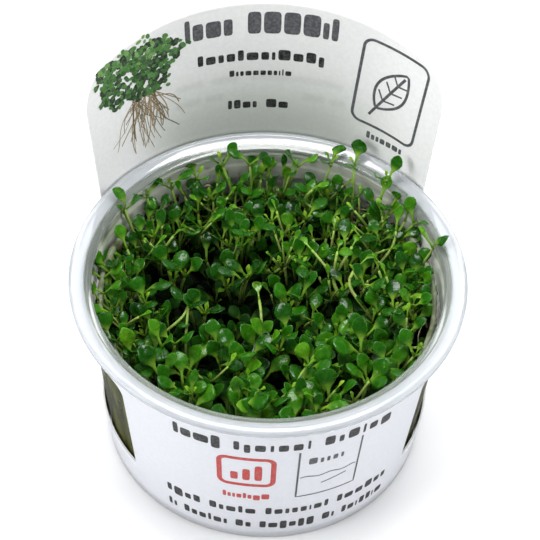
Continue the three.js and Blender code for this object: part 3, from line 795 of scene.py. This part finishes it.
def plants():
    draws = Draws(PLANTS_SEED)
    draw = draws.between
    leaf_kinds = [
        leaf_blank(1.0, 0.3, 0.35, 0.0), leaf_blank(1.1, -0.25, 0.65, 0.04), leaf_blank(0.84, 0.42, 0.1, -0.05),
        leaf_blank(1.0, -0.35, 0.9, 0.02), leaf_blank(0.68, 0.3, 0.2, 0.08), leaf_blank(1.15, -0.3, 0.3, -0.03),
    ]
    young_kind = leaf_blank(0.62, 0.5, 0.25, 0.0)
    rings = np.linspace(0, 1, 7)
    tube = stem_blank(len(rings))
    leaves = [Heap() for _ in range(TUFTS)]
    stems = [Heap() for _ in range(TUFTS)]

    def pick_tone():
        share = draws.random()
        if share < 0.26:
            return draw(0.08, 0.25)
        return draw(0.28, 0.52) if share < 0.88 else draw(0.52, 0.76)

    def leaf_at(k, foot, out, tilt, length, tone=None, kind=None):
        kind = kind or leaf_kinds[int(draws.random() * len(leaf_kinds))]
        roll = draw(-0.45, 0.45)
        if tone is None:
            # Painted shade: leaves in the mat's hollow get darker tones. Leaves at the front get slightly lighter
            # tones.
            tone = pick_tone() * (1 - 0.68 * hollow(foot[0], foot[1])) + (0.06 if foot[1] < -14 else 0)
        add_leaf(leaves[k], kind, foot, out, tilt, length, roll, tone, 1 if foot[2] < SHADED_BELOW else 0)

    def lit_way(out):
        """Turns a leaf's direction part of the way to the back, so that its face meets the light from the front."""
        away = (math.pi / 2 - out + math.pi) % TURN - math.pi
        return out + 0.36 * away

    def young_shoot(k, foot, turn):
        """The pair of small new leaves that opens at a stem's tip."""
        size = draw(2.4, 4.2)
        for side in range(2):
            leaf_at(k, foot, turn + math.pi * side, draw(1.0, 1.35), size, draw(0.78, 1), young_kind)

    def swaying(base, tip, wander):
        """A stem's line that also sways to one side, by up to wander at its middle."""
        line = bent(base, tip, rings)
        sway = wander * np.sin(rings * math.pi)
        angle = draw(0, TURN)
        line[:, 0] += sway * math.cos(angle)
        line[:, 1] += sway * math.sin(angle)
        return line

    for k in range(TUFTS):
        for base, tip, turn, pairs, tall in sprig_plan(k):
            add_stem(stems[k], tube, bent(base, tip, rings), 0.44, draw(0.3, 0.7) if tall else draw(0.1, 0.6))
            for height, quarter, blades in pairs:
                foot = bent(base, tip, height)
                for side, (tilt, length) in enumerate(blades):
                    leaf_at(k, foot, turn + math.pi / 2 * (2 * side + quarter), tilt, length * 1.12)
            if draws.random() < 0.5:
                young_shoot(k, tip, turn + math.pi / 2)

    # The mat: sprigs all over it, lower in its hollow
    for i in range(MAT_SPRIGS):
        r = (MAT_RADIUS - 1.6) * math.sqrt((i + 0.5) / MAT_SPRIGS)
        angle = i * GOLDEN_ANGLE + draw(-0.25, 0.25)
        x, y = r * math.cos(angle) + draw(-1.2, 1.2), r * math.sin(angle) + draw(-1.2, 1.2)
        k = nearest_tuft(x, y)
        lean, toward = draw(0, 4), draw(0, TURN)
        tip = np.array([x, y, canopy_height(x, y) + draw(-11, 4)])
        base = np.array([x * 0.95 + lean * math.cos(toward), y * 0.95 + lean * math.sin(toward), GEL_DEPTH + 2])
        base[:2] *= pulled_in(*base[:2], STEM_FOOT_REACH)
        add_stem(stems[k], tube, swaying(base, tip, draw(0, 2.5)), draw(0.36, 0.5), draw(0, 0.55))
        turn = draw(0, TURN)
        size = 1.16 if y < -14 else 0.88
        for side in range(2):
            leaf_at(k, tip, lit_way(turn + math.pi * side), draw(0.7, 1.25), size * draw(6.6, 9.2))
        if draws.random() < 0.35:
            young_shoot(k, tip, turn + math.pi / 2)
        for below in range(1 + int(draws.random() * 1.6)):
            foot = bent(base, tip, 0.84 - 0.17 * below)
            for side in range(2):
                out = turn + math.pi / 2 * (below + 1) + math.pi * side
                leaf_at(k, foot, lit_way(out), draw(0.2, 0.9), draw(6, 8.5), draw(0.05, 0.45))

    # Young forked shoots: a pale thin stem and two long pale stalks with small blades, a little over the canopy
    for i in range(YOUNG_FORKS):
        x, y, around = YOUNG_PLACES[i % len(YOUNG_PLACES)]
        x, y = x + draw(-1, 1) * around, y + draw(-1, 1) * around
        inward = pulled_in(x, y, STEM_FOOT_REACH + 1)
        x, y = x * inward, y * inward
        k = nearest_tuft(x, y)
        tip = np.array([x, y, canopy_height(x, y) + draw(-1.5, 4.5)])
        base = np.array([x + draw(-5, 5), y + draw(-5, 5), 26])
        base[:2] *= pulled_in(*base[:2], STEM_FOOT_REACH)
        add_stem(stems[k], tube, swaying(base, tip, draw(0.5, 2.5)), draw(0.42, 0.55), draw(0.65, 1))
        turn, open_wide = draw(0, TURN), draw(0.8, 1.25)
        for side in range(2):
            stalk = draw(4.5, 7.5)
            out = turn + math.pi * side + draw(-0.3, 0.3)
            end = tip + np.array([math.cos(out) * math.cos(open_wide), math.sin(out) * math.cos(open_wide),
                                  math.sin(open_wide)]) * stalk
            curve = np.array([0, 0, draw(-0.6, 0.4)])
            stalk_line = tip + (end - tip) * rings[:, None] + curve * np.sin(rings * math.pi)[:, None]
            add_stem(stems[k], tube, stalk_line, draw(0.3, 0.38), draw(0.8, 1), 0.85)
            leaf_at(k, end, out + draw(-0.4, 0.4), open_wide + draw(-0.3, 0.2), draw(2.6, 5), draw(0.55, 0.95),
                    young_kind)
        if draws.random() < 0.5:
            young_shoot(k, tip, turn + math.pi / 2)

    # Slim sprigs that stand along the back wall between the tall ones
    for i in range(BACK_SPRIGS):
        angle = math.radians(-125 + 225 * (i + draw(0, 1)) / BACK_SPRIGS)
        r = draw(36, 41.8)
        x, y = r * math.sin(angle), r * math.cos(angle)
        k = nearest_tuft(x, y)
        tip = np.array([x, y, draw(40.5, 49)])
        base = np.array([x * 0.86 + draw(-2, 2), y * 0.86 + draw(-2, 2), 28])
        add_stem(stems[k], tube, swaying(base, tip, draw(0, 1.6)), draw(0.28, 0.38), draw(0.3, 0.8))
        turn = draw(0, TURN)
        for side in range(2):
            leaf_at(k, tip, turn + math.pi * side, draw(0.8, 1.35), draw(4.2, 7))
            leaf_at(k, bent(base, tip, 0.72), turn + math.pi * (side + 0.5), draw(0.4, 1.1), draw(4.5, 7))

    # Large leaves at the wall and in front, on long stalks
    for foot, out, tilt, length in WALL_LEAVES:
        k = nearest_tuft(foot[0], foot[1])
        base = np.array([foot[0] * 0.9 - 2 * math.cos(out), foot[1] * 0.9 - 2 * math.sin(out), 33])
        base[:2] *= pulled_in(*base[:2], STEM_FOOT_REACH + 1)
        add_stem(stems[k], tube, swaying(base, foot, 0.8), 0.42, draw(0.5, 0.75))
        leaf_at(k, foot, out, tilt, length, draw(0.4, 0.6), leaf_kinds[0])

    # Old leaves pressed flat against the wall where the windows show them
    for i in range(PRESSED_LEAVES):
        bearing = at_window(i, 3, draw)
        z = draw(12, 43)
        r = wall_inside(z) - 0.5
        foot = (r * math.sin(bearing), r * math.cos(bearing), z)
        kind = leaf_kinds[int(draws.random() * len(leaf_kinds))]
        along_wall = -bearing + (0 if draws.random() < 0.5 else math.pi)
        add_leaf(leaves[nearest_tuft(*foot[:2])], kind, foot, along_wall, draw(0.5, 1.5), draw(5.5, 8.5), math.pi / 2,
                 draw(0.15, 0.8), 2)

    # Long pale runners, smoothed through their points
    runner_rings = 11
    runner_tube = stem_blank(runner_rings)
    for path, radius, size in RUNNERS:
        path = np.array(path)
        t = np.linspace(0, 1, len(path))
        fits = [np.polyfit(t, path[:, axis], min(3, len(path) - 1)) for axis in range(3)]
        line = np.stack([np.polyval(fit, np.linspace(0, 1, runner_rings)) for fit in fits], axis=1)
        k = nearest_tuft(*path[-1][:2])
        add_stem(stems[k], runner_tube, line, radius, draw(0.8, 1))
        if size:
            last = line[-1] - line[-2]
            tilt = math.atan2(last[2], math.hypot(last[0], last[1]))
            leaf_at(k, line[-1], math.atan2(last[1], last[0]), tilt, size, draw(0.55, 0.85))

    leaf_skins = [
        leaf_material("leaf_green", 0.38, 0.18, 0.32), leaf_material("shaded_leaf", 0.1, 0.45, 0.5),
        leaf_material("pressed_leaf", 0.3, 0.35, 0.5, 0.9, 0.45),
    ]
    stem_skin = stem_material()
    for k in range(TUFTS):
        number = f"{k + 1:02d}"
        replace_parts(leaves[k].piece(f"tuft_{number}_leaves", *leaf_skins), f"tuft_{number}")
        stems[k].piece(f"tuft_{number}_stems", stem_skin)


def old_roots():
    """Brown roots and dead stems that cling to the wall round the mat and lie in it."""
    draw = Draws(ROOTS_SEED).between
    heap = Heap()
    t = np.linspace(0, 1, 9)
    tube = stem_blank(len(t), 5)
    for _ in range(LYING_ROOTS):
        angle = draw(0, TURN)
        inner = abs(draw(-1, 1)) ** 2.4
        r = 43.6 - inner * 9
        z = draw(38, 45.5) - inner * 3
        length = draw(3, 12) / r
        line = np.stack([
            (r + draw(-1, 1) * np.sin(t * 3)) * np.cos(angle + length * t),
            (r + draw(-1, 1) * np.cos(t * 4)) * np.sin(angle + length * t),
            z + draw(-5, 4) * t + draw(0.5, 1.6) * np.sin(t * draw(4, 9)),
        ], axis=1)
        add_stem(heap, tube, line, draw(0.16, 0.42), 0, 0.6)
    # Roots that run up the wall in the windows
    for i in range(WINDOW_ROOTS):
        bearing = at_window(i, 2, draw)
        low, length = draw(11, 26), draw(10, 22)
        z = low + length * t
        turn = bearing + draw(-0.1, 0.1) * t + 0.02 * np.sin(t * draw(4, 9))
        r = wall_inside(z) - 0.6
        add_stem(heap, tube, np.stack([r * np.sin(turn), r * np.cos(turn), z], axis=1), draw(0.08, 0.19), 0, 0.6)
    heap.piece("old_roots", root_material())


# The card sleeve

def smoothstep(value, low, high):
    share = np.clip((value - low) / (high - low), 0, 1)
    return share * share * (3 - 2 * share)


def arch_height(along):
    """The header's top edge over the cup's, at a distance from its middle."""
    corner = HEADER_HALF_WIDTH - HEADER_CORNER
    x = abs(along)
    if x <= corner:
        return HEADER_RISE - HEADER_ARCH_DROP * (x / corner) ** 2 * 0.8
    dip = math.sqrt(max(0, HEADER_CORNER ** 2 - (x - corner) ** 2))
    return HEADER_RISE - HEADER_ARCH_DROP * 0.8 - HEADER_CORNER + dip


def card_radius(degrees, z):
    """The card's outside radius: a cone that bends out at the back to carry the upright header."""
    if z > CARD_TOP_EDGE:
        return HEADER_RADIUS + HEADER_LEAN * (z - CARD_TOP_EDGE)
    bend = 1 - smoothstep(abs(degrees), HEADER_EDGE_DEG + 1, HEADER_EDGE_DEG + BEND_FADE_DEG)
    full = HEADER_RADIUS - (CARD_FOOT_RADIUS + CARD_TAPER * CARD_TOP_EDGE)
    rise = smoothstep(z, BEND_START, BEND_END) / smoothstep(CARD_TOP_EDGE, BEND_START, BEND_END)
    return CARD_FOOT_RADIUS + CARD_TAPER * z + full * rise * bend


def card_material(name, white, dusk, roughness, inside=False):
    material, shader = new_material(name)
    fibre = grain(place_on(shader), 900, 3)
    colour = two_tones(fibre, 0.3, 0.7, white, dusk)
    if inside:
        # Painted shade on the header, darker and tinted with the mat's green towards its low middle, less towards its
        # sides; and the print on its back that shows faintly through it
        place = node("UVMap", {}, shader.id_data, uv_map="header").outputs["UV"]
        height = along_axis(place, "Y")
        low = maths("MULTIPLY", spread(height, -4, 24, 0.6, 0.13), spread(height, -9, -1, 0.45, 1.0))
        side = spread(maths("ABSOLUTE", along_axis(place, "X")), 18, 42, 1.0, 0.12)
        colour = blend(maths("MULTIPLY", low, side), colour, (0.2, 0.25, 0.17))
        for x, z, half in ((-18.5, 17.2, 4), (-9, 17.2, 3.6), (9.5, 17.2, 12),
                           (-19, 11.8, 3.5), (-12, 11.8, 2.4), (14, 11.8, 3), (20.5, 11.8, 2.2)):
            bar = {"Place": place, "Middle": (x, z, 0), "Half Size": (half, 1.1, 1), "Corner": 0.9, "Soft Edge": 1.2}
            shadow = node("Group", bar, node_tree=PRINTED_SHAPE).outputs["Ink"]
            colour = blend(maths("MULTIPLY", shadow, 0.09), colour, (0.03, 0.03, 0.03))
    dress(shader, {"Base Color": colour, "Roughness": roughness})
    bump(shader, fibre, 0.0001, 0.2)
    return material


def cut(bm, faces, point, normal):
    geom = list({x for f in faces for x in (f, *f.edges, *f.verts)})
    bmesh.ops.bisect_plane(bm, geom=geom, dist=1e-7, plane_co=point, plane_no=normal)


def faces_where(bm, test):
    """The flat card's faces whose middle passes a test of its degrees and height."""
    return [f for f in bm.faces if test(*f.calc_center_median().xy)]


def in_window(x, z):
    if not (WINDOW_BACK_DEG < abs(x) < WINDOW_FRONT_DEG and WINDOW_LOW < z < WINDOW_HIGH):
        return False
    dx = WINDOW_CORNER - (WINDOW_FRONT_DEG - abs(x)) * WINDOW_MM_PER_DEG
    dz = WINDOW_CORNER - (WINDOW_HIGH - z)
    return not (dx > 0 and dz > 0 and math.hypot(dx, dz) > WINDOW_CORNER)


def flat_card():
    """The card, one unit a degree and a millimetre, with its windows and the header's outline cut out."""
    bm = bmesh.new()
    bmesh.ops.create_grid(bm, x_segments=180, y_segments=1, size=1)
    high = CUP_HEIGHT + HEADER_RISE
    for v in bm.verts:
        v.co = Vector((v.co.x * 180, CARD_LOW_EDGE if v.co.y < 0 else high, 0))
    header_rows = [CARD_TOP_EDGE + 2.5 * i for i in range(18)]
    for z in [4, 8, 10.5, WINDOW_LOW, 18, 22, 26, 30, 34, 38, 42, WINDOW_HIGH, 49, 51.5] + header_rows:
        cut(bm, bm.faces, (0, z, 0), (0, 1, 0))
    for x in (HEADER_EDGE_DEG, WINDOW_BACK_DEG, WINDOW_FRONT_DEG):
        for side in (-1, 1):
            cut(bm, bm.faces, (side * x, 0, 0), (1, 0, 0))
    for i in range(1, 12):
        x = math.degrees((HEADER_HALF_WIDTH - HEADER_CORNER * (1 - math.sin(i / 12 * math.pi / 2))) / HEADER_RADIUS)
        for side in (-1, 1):
            cut(bm, faces_where(bm, lambda _, z: z > CARD_TOP_EDGE), (side * x, 0, 0), (1, 0, 0))
    for side in (-1, 1):
        middle = Vector((side * (WINDOW_FRONT_DEG - WINDOW_CORNER / WINDOW_MM_PER_DEG), WINDOW_HIGH - WINDOW_CORNER, 0))
        for i in range(1, 7):
            turn = math.pi / 2 * (i - 0.5) / 6
            normal = Vector((side * math.cos(turn) * WINDOW_MM_PER_DEG, math.sin(turn), 0))
            out = Vector((side * math.cos(turn) / WINDOW_MM_PER_DEG, math.sin(turn), 0)) * WINDOW_CORNER
            near = faces_where(bm, lambda x, z: side * (x - middle.x) > -0.01 and side * x < WINDOW_FRONT_DEG
                               and middle.y < z < WINDOW_HIGH)
            cut(bm, near, middle + out, normal)
    gone = faces_where(bm, in_window) + faces_where(bm, lambda x, z: z > CARD_TOP_EDGE and abs(x) > HEADER_EDGE_DEG)
    bmesh.ops.delete(bm, geom=gone, context="FACES")
    for v in bm.verts:
        if v.co.y > CARD_TOP_EDGE + 1e-4:
            along = math.radians(min(abs(v.co.x), HEADER_EDGE_DEG)) * HEADER_RADIUS
            share = (v.co.y - CARD_TOP_EDGE) / (high - CARD_TOP_EDGE)
            v.co.y = CARD_TOP_EDGE + (CUP_HEIGHT + arch_height(along) - CARD_TOP_EDGE) * share
    return bm


def sleeve():
    """The flat card, bent round the cup and given its thickness. Its inside and its cut edges are bare card."""
    bm = flat_card()
    header_print = bm.loops.layers.uv.new("header")
    for face in bm.faces:
        for loop in face.loops:
            degrees, z = loop.vert.co.x, loop.vert.co.y
            loop[header_print].uv = (math.radians(degrees) * HEADER_RADIUS, z - CUP_HEIGHT)
    for v in bm.verts:
        degrees, z = v.co.x, v.co.y
        r = card_radius(degrees, z) * MM
        v.co = Vector((r * math.sin(math.radians(degrees)), r * math.cos(math.radians(degrees)), z * MM))
    bmesh.ops.remove_doubles(bm, verts=bm.verts, dist=1e-6)
    bmesh.ops.recalc_face_normals(bm, faces=bm.faces)
    sample = bm.faces[:][0]
    if sample.normal.dot(Vector((*sample.calc_center_median().xy, 0))) < 0:
        bmesh.ops.reverse_faces(bm, faces=bm.faces)
    bmesh.ops.solidify(bm, geom=bm.faces, thickness=CARD * MM)
    for face in bm.faces:
        outward = face.normal.dot(Vector((*face.calc_center_median().xy, 0)).normalized())
        face.material_index = 0 if outward > 0.5 else 1
        face.smooth = abs(outward) > 0.5
    outside = card_material("card_outside", (0.675, 0.69, 0.73), (0.65, 0.665, 0.705), 0.38)
    inside = card_material("card_inside", (0.89, 0.885, 0.89), (0.84, 0.84, 0.84), 0.5, inside=True)
    piece = finished("card_sleeve", bm, [outside, inside], smooth=False)
    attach(piece, "root")
    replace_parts(piece, "sleeve")


# The print on the card: thin patches of ink, drawn flat in millimetres and then laid on the bent card

GREY_INK = (0.07, 0.07, 0.08)
DARK_INK = (0.012, 0.012, 0.014)
RED_INK = (0.46, 0.035, 0.03)
LEAF_INKS = [(0.012, 0.035, 0.01), (0.03, 0.1, 0.02), (0.06, 0.19, 0.035), (0.16, 0.32, 0.09)]
INK_LIFT = 0.03
INK_THICKNESS = 0.012
PICTURE_ROOTS = 64
PICTURE_LEAVES = 430
SHADED_PICTURE_LEAVES = 150


def ink_material():
    material, shader = new_material("printed_ink")
    ink = node("Attribute", {}, shader.id_data, attribute_name="ink").outputs["Color"]
    wear = grain(place_on(shader), 1400, 2)
    dress(shader, {"Base Color": two_tones(wear, 0.35, 0.8, ink, (0.8, 0.8, 0.8), 0.12),
                   "Roughness": spread(wear, 0.3, 0.7, 0.34, 0.46)})
    return material


def rotated(x, y, turn, middle=(0, 0)):
    c, s = math.cos(turn), math.sin(turn)
    return middle[0] + x * c - y * s, middle[1] + x * s + y * c


class InkSheet:
    """Flat patches of ink on one bmesh; x is along the card, y is up it, and z is the ink's lift off it."""

    def __init__(self):
        self.bm = bmesh.new()
        self.colour = self.bm.verts.layers.float_color.new("ink")
        self.draws = Draws(LETTERS_SEED)
        self.lift = INK_LIFT

    def put(self, v, point, colour):
        v.co = Vector((*point, self.lift))
        v[self.colour] = (*colour, 1)

    def patch(self, segments, colour, outline):
        """A filled patch: outline(angle) gives each point of its edge."""
        for v in bmesh.ops.create_circle(self.bm, cap_ends=True, cap_tris=segments > 8, segments=segments,
                                         radius=1)["verts"]:
            if v.co.length > 0.5:
                self.put(v, outline(math.atan2(v.co.y, v.co.x)), colour)
            else:
                self.put(v, np.mean([outline(TURN * i / 8) for i in range(8)], axis=0), colour)

    def block(self, x, y, half_width, half_height, colour):
        """A rounded block."""
        def outline(angle):
            c, s = math.cos(angle), math.sin(angle)
            return x + half_width * math.copysign(abs(c) ** 0.4, c), y + half_height * math.copysign(abs(s) ** 0.4, s)
        self.patch(16, colour, outline)

    def stroke(self, path, width, colour, closed=False):
        """A line of even width along a path of points."""
        path = np.array(path, dtype=float)
        if closed:
            path = np.vstack([path, path[:1]])
        ahead = np.gradient(path, axis=0)
        if closed:
            ahead[0] = ahead[-1] = path[1] - path[-2]
        ahead /= np.linalg.norm(ahead, axis=1)[:, None]
        side = np.stack([-ahead[:, 1], ahead[:, 0]], axis=1) * width / 2
        count = len(path) - 1
        for v in bmesh.ops.create_grid(self.bm, x_segments=count, y_segments=1, size=1)["verts"]:
            i = round((v.co.x + 1) / 2 * count)
            self.put(v, path[i] + side[i] * (1 if v.co.y > 0 else -1), colour)

    def frame(self, middle, half, corner, width, colour, turn=0.0):
        """A rounded frame."""
        points = []
        for quarter, (sx, sy) in enumerate(((1, 1), (-1, 1), (-1, -1), (1, -1))):
            for step in range(9):
                angle = math.pi / 2 * (quarter + step / 8)
                points.append((sx * (half[0] - corner) + corner * math.cos(angle),
                               sy * (half[1] - corner) + corner * math.sin(angle)))
        dense = []
        for a, b in zip(points, points[1:] + points[:1]):
            parts = max(1, int(math.dist(a, b) / 1.5))
            dense += [(a[0] + (b[0] - a[0]) * i / parts, a[1] + (b[1] - a[1]) * i / parts) for i in range(parts)]
        self.stroke([rotated(x, y, turn, middle) for x, y in dense], width, colour, True)

    def words(self, start, end, base, height, letters, colour, weight=0.4):
        """A line of plain blocks in words, of many widths, some tall or long as in any print; they spell nothing."""
        rows = [[self.draws.between(0.45, 1.3) for _ in range(count)] for count in letters]
        pitch = (end - start) / (sum(sum(row) for row in rows) + 0.7 * (len(letters) - 1))
        left = start
        for row in rows:
            for i, width in enumerate(row):
                tall = i == 0 or self.draws.random() < 0.3
                top = height if tall else height * 0.74
                low = -0.24 * height if i and self.draws.random() < 0.12 else 0
                half = pitch * (width / 2 - 0.5 + weight)
                self.block(left + pitch * width / 2, base + (top + low) / 2, half, (top - low) / 2, colour)
                left += pitch * width
            left += pitch * 0.7

    def lay(self, name, material, front=False, outside=False):
        """Gives the ink its thickness and lays it on the card's front or header, on its outside or inside."""
        bmesh.ops.remove_doubles(self.bm, verts=self.bm.verts, dist=1e-5)
        bmesh.ops.solidify(self.bm, geom=self.bm.faces, thickness=INK_THICKNESS)
        for v in self.bm.verts:
            along, up, lift = v.co
            angle = along / (FRONT_PRINT_RADIUS if front else HEADER_RADIUS)
            degrees = math.degrees(angle)
            z = up if front else CUP_HEIGHT + up
            edge = card_radius(180 - abs(degrees) if front else degrees, z)
            r = edge + lift if outside else edge - CARD - lift
            v.co = Vector((r * math.sin(angle), r * math.cos(angle) * (-1 if front else 1), z)) * MM
        bmesh.ops.recalc_face_normals(self.bm, faces=self.bm.faces)
        piece = finished(name, self.bm, [material], smooth=False)
        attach(piece, "root")


def leaf_mark(sheet, middle):
    """A plain leaf, leaning, with a midrib and side veins."""
    def line(points, width, closed=False):
        sheet.stroke([rotated(x, y, -0.5, middle) for x, y in points], width, GREY_INK, closed)

    side = [(4.6 * math.sin(math.pi * t) ** 0.8 * (1 - 0.25 * t), -7 + 16 * t) for t in np.linspace(0.02, 0.98, 14)]
    line(side + [(-x, y) for x, y in reversed(side)], 0.75, True)
    line([(0, y) for y in np.linspace(-10.4, 7.6, 12)], 0.75)
    for y in (-3.6, 0.2, 3.8):
        for way in (-1, 1):
            line([(way * t * 3.1, y + 2.2 * t) for t in np.linspace(0.1, 0.9, 4)], 0.5)


def plant_picture(sheet):
    """A plain picture of a leafy plant with brown roots."""
    draws = Draws(PICTURE_SEED)
    draw = draws.between
    for _ in range(PICTURE_ROOTS):
        start = np.array([-31.5 + draw(-3.4, 3.4), 21.5 + draw(-3, 1.5)])
        angle = draw(-1, 1) * abs(draw(-1, 1)) * 1.25
        length = draw(7, 19) * (1 - 0.35 * abs(angle))
        bend, curl = draw(-2.2, 2.2), draw(2, 5)
        t = np.linspace(0, 1, 12)[:, None]
        line = start + t * length * np.array([math.sin(angle), -math.cos(angle)])
        line = line + bend * np.sin(t * curl) * t * np.array([math.cos(angle), math.sin(angle)])
        tone = draws.random()
        colour = (0.1 + 0.24 * tone, 0.075 + 0.17 * tone, 0.035 + 0.1 * tone)
        sheet.lift = INK_LIFT + 0.0004 * draw(0, 60)
        sheet.stroke(line, draw(0.13, 0.32), colour)
    for i in range(PICTURE_LEAVES):
        shaded = i < SHADED_PICTURE_LEAVES
        angle = draw(0, TURN)
        away = draws.random() ** 0.55
        ragged = 1 + 0.1 * math.sin(5 * angle + 1) + 0.08 * math.sin(11 * angle) + draw(-0.04, 0.1)
        x = -32.8 + 12.6 * away * ragged * math.cos(angle)
        y = 29.6 + 8.4 * away * ragged * math.sin(angle) + 1.2 * math.cos(angle * 2)
        long = draw(0.55, 1.05) * (1.5 if shaded else 1)
        wide = long * draw(0.55, 0.85)
        lean = draw(0, math.pi)
        tone = 0 if shaded else min(3, 1 + int(draws.random() * 2 + 0.9 * max(0, y - 29) / 8))
        sheet.lift = 0.05 + 0.00016 * i
        sheet.patch(7, LEAF_INKS[tone], lambda a: rotated(long * math.cos(a), wide * math.sin(a), lean, (x, y)))


def prints():
    ink = ink_material()
    header = InkSheet()
    header.words(-19.2, 19.2, 31.2, 6.8, (4, 6), GREY_INK, 0.43)
    header.words(-16.3, 16.3, 22.9, 3.3, (12,), DARK_INK)
    header.words(-8.1, 8.1, 18.0, 2.0, (11,), DARK_INK, 0.36)
    header.words(-8.6, 7.7, 7.4, 2.8, (4, 2), DARK_INK)
    header.frame((34.4, 21.6), (9.3, 13.2), 2.6, 0.8, GREY_INK, -0.05)
    leaf_mark(header, (34.2, 21))
    header.words(29.2, 40.6, 4.2, 2.2, (7,), GREY_INK)
    for start, end, base in ((-41, -14, -12.4), (-46, -17, -15.6), (-50, -24, -18.8),
                             (21, 52, -13.4), (24, 56, -16.6), (30, 60, -19.8)):
        header.words(start, end, base, 1.9, (5, 3, 7, 4), DARK_INK)
    header.lay("header_print", ink)

    picture = InkSheet()
    plant_picture(picture)
    picture.lay("plant_picture", ink)

    front = InkSheet()
    front.words(-25.7, -13.2, 44.4, 4.6, (4,), DARK_INK, 0.43)
    front.words(-10.8, 30, 44.4, 3.9, (7, 6), DARK_INK, 0.34)
    front.words(-30, 34, 13, 3.3, (4, 5, 8, 6), DARK_INK, 0.36)
    front.words(-30, 34, 5.8, 3.3, (2, 6, 2, 6, 2, 7), DARK_INK, 0.36)
    vessel = [(5.6, z) for z in np.linspace(43, 21.2, 14)] + [(x, 21.2) for x in np.linspace(7, 20, 10)]
    vessel += [(21.6, z) for z in np.linspace(21.2, 43, 14)]
    front.stroke(vessel, 0.5, GREY_INK)
    front.stroke([(x, 30.5 + 0.35 * math.sin(x)) for x in np.linspace(6.2, 21, 16)], 0.4, GREY_INK)
    front.stroke([(x, 26.2 + 0.3 * (x - 12)) for x in np.linspace(12, 18.6, 6)], 0.45, GREY_INK)
    front.words(7.6, 17.4, 36.6, 2.9, (5,), GREY_INK, 0.36)
    front.frame((-7.2, 34), (6.7, 6.3), 2.0, 1.3, RED_INK)
    for i in range(3):
        front.block(-10.2 + 3 * i, 31 + 0.9 * (i + 1), 0.95, 0.9 * (i + 2), RED_INK)
    front.words(-13.4, -1.0, 20.8, 2.6, (8,), RED_INK)
    front.lay("front_print", ink, front=True, outside=True)

    back = InkSheet()
    back.words(-22, 22, 16.2, 2.7, (4, 4, 12), GREY_INK)
    back.words(-22, 22, 10.6, 2.7, (2, 2, 1, 2, 4), GREY_INK)
    back.words(-30, 30, 25, 4.6, (6, 5), DARK_INK)
    back.words(-26, 26, 4, 1.8, (5, 9, 3, 11, 6), DARK_INK)
    back.lay("back_print", ink, outside=True)


# The room

def mirrored(tree):
    """1 for what a glossy surface mirrors, 0 for all else, also for what is seen through clear plastic."""
    path = node("LightPath", {}, tree).outputs
    return maths("MULTIPLY", path["Is Glossy Ray"], maths("SUBTRACT", 1.0, path["Is Transmission Ray"]))


def room():
    bm = bmesh.new()
    bmesh.ops.create_grid(bm, x_segments=1, y_segments=1, size=2)
    material, shader = new_material("pale_floor")
    # In reflections the floor shows dark grey instead of pale: painted dimming of its reflection
    dim = maths("MULTIPLY", mirrored(shader.id_data), 0.65)
    dress(shader, {"Base Color": blend(dim, (0.9, 0.9, 0.9), (0.1, 0.1, 0.1)), "Roughness": 0.7})
    floor = finished("floor", bm, [material], smooth=False)
    world = bpy.data.worlds.new("studio")
    bpy.context.scene.world = world
    world.use_nodes = True
    dim = maths("MULTIPLY", mirrored(world.node_tree), -0.36)
    dress(world.node_tree.nodes["Background"], {"Color": (0.95, 0.97, 1), "Strength": maths("ADD", 0.42, dim)})
    lights = [
        # name, place, aim, size, power, seen in reflections
        ("overhead_softbox", (0, 0.06, 0.62), (0, 0, 0.04), (0.46, 0.18), 3.6, True),
        ("back_softbox", (0, 0.44, 0.5), (0, 0.03, 0.05), (0.46, 0.3), 1.1, True),
        ("left_fill", (-0.75, -0.2, 0.42), (0, 0, 0.05), (0.4, 0.5), 4.6, False),
        ("right_fill", (0.75, -0.25, 0.4), (0, 0, 0.05), (0.4, 0.5), 3.4, False),
        ("front_fill", (-0.1, -0.85, 0.4), (0, 0, 0.03), (0.5, 0.4), 0.7, False),
    ]
    for name, place, aim, size, power, reflected in lights:
        light = bpy.data.lights.new(name, "AREA")
        light.shape = "RECTANGLE"
        light.size, light.size_y = size
        light.energy = power
        lamp = placed(name, light)
        lamp.location = place
        lamp.rotation_euler = (Vector(aim) - Vector(place)).to_track_quat("-Z", "Y").to_euler()
        lamp.visible_glossy = reflected


def camera():
    """The photograph's viewing angle, as fitted to the flange, the card's edges and the foot."""
    data = bpy.data.cameras.new("camera")
    data.lens = 118.56
    data.sensor_width = 36
    data.clip_start = 0.01
    eye = placed("camera", data)
    right = Vector((0.9983, -0.0512, 0.0268))
    up = Vector((0.0210, 0.7539, 0.6567))
    back = Vector((-0.0539, -0.6550, 0.7537))
    turn = Matrix((right, up, back)).transposed().to_4x4()
    eye.matrix_world = Matrix.Translation(Vector((-23.59, -291.24, 392.24)) * MM) @ turn
    bpy.context.scene.camera = eye


bpy.context.scene.view_settings.view_transform = "Standard"
room()
camera()
cup()
gel()
undergrowth()
plants()
old_roots()
sleeve()
prints()
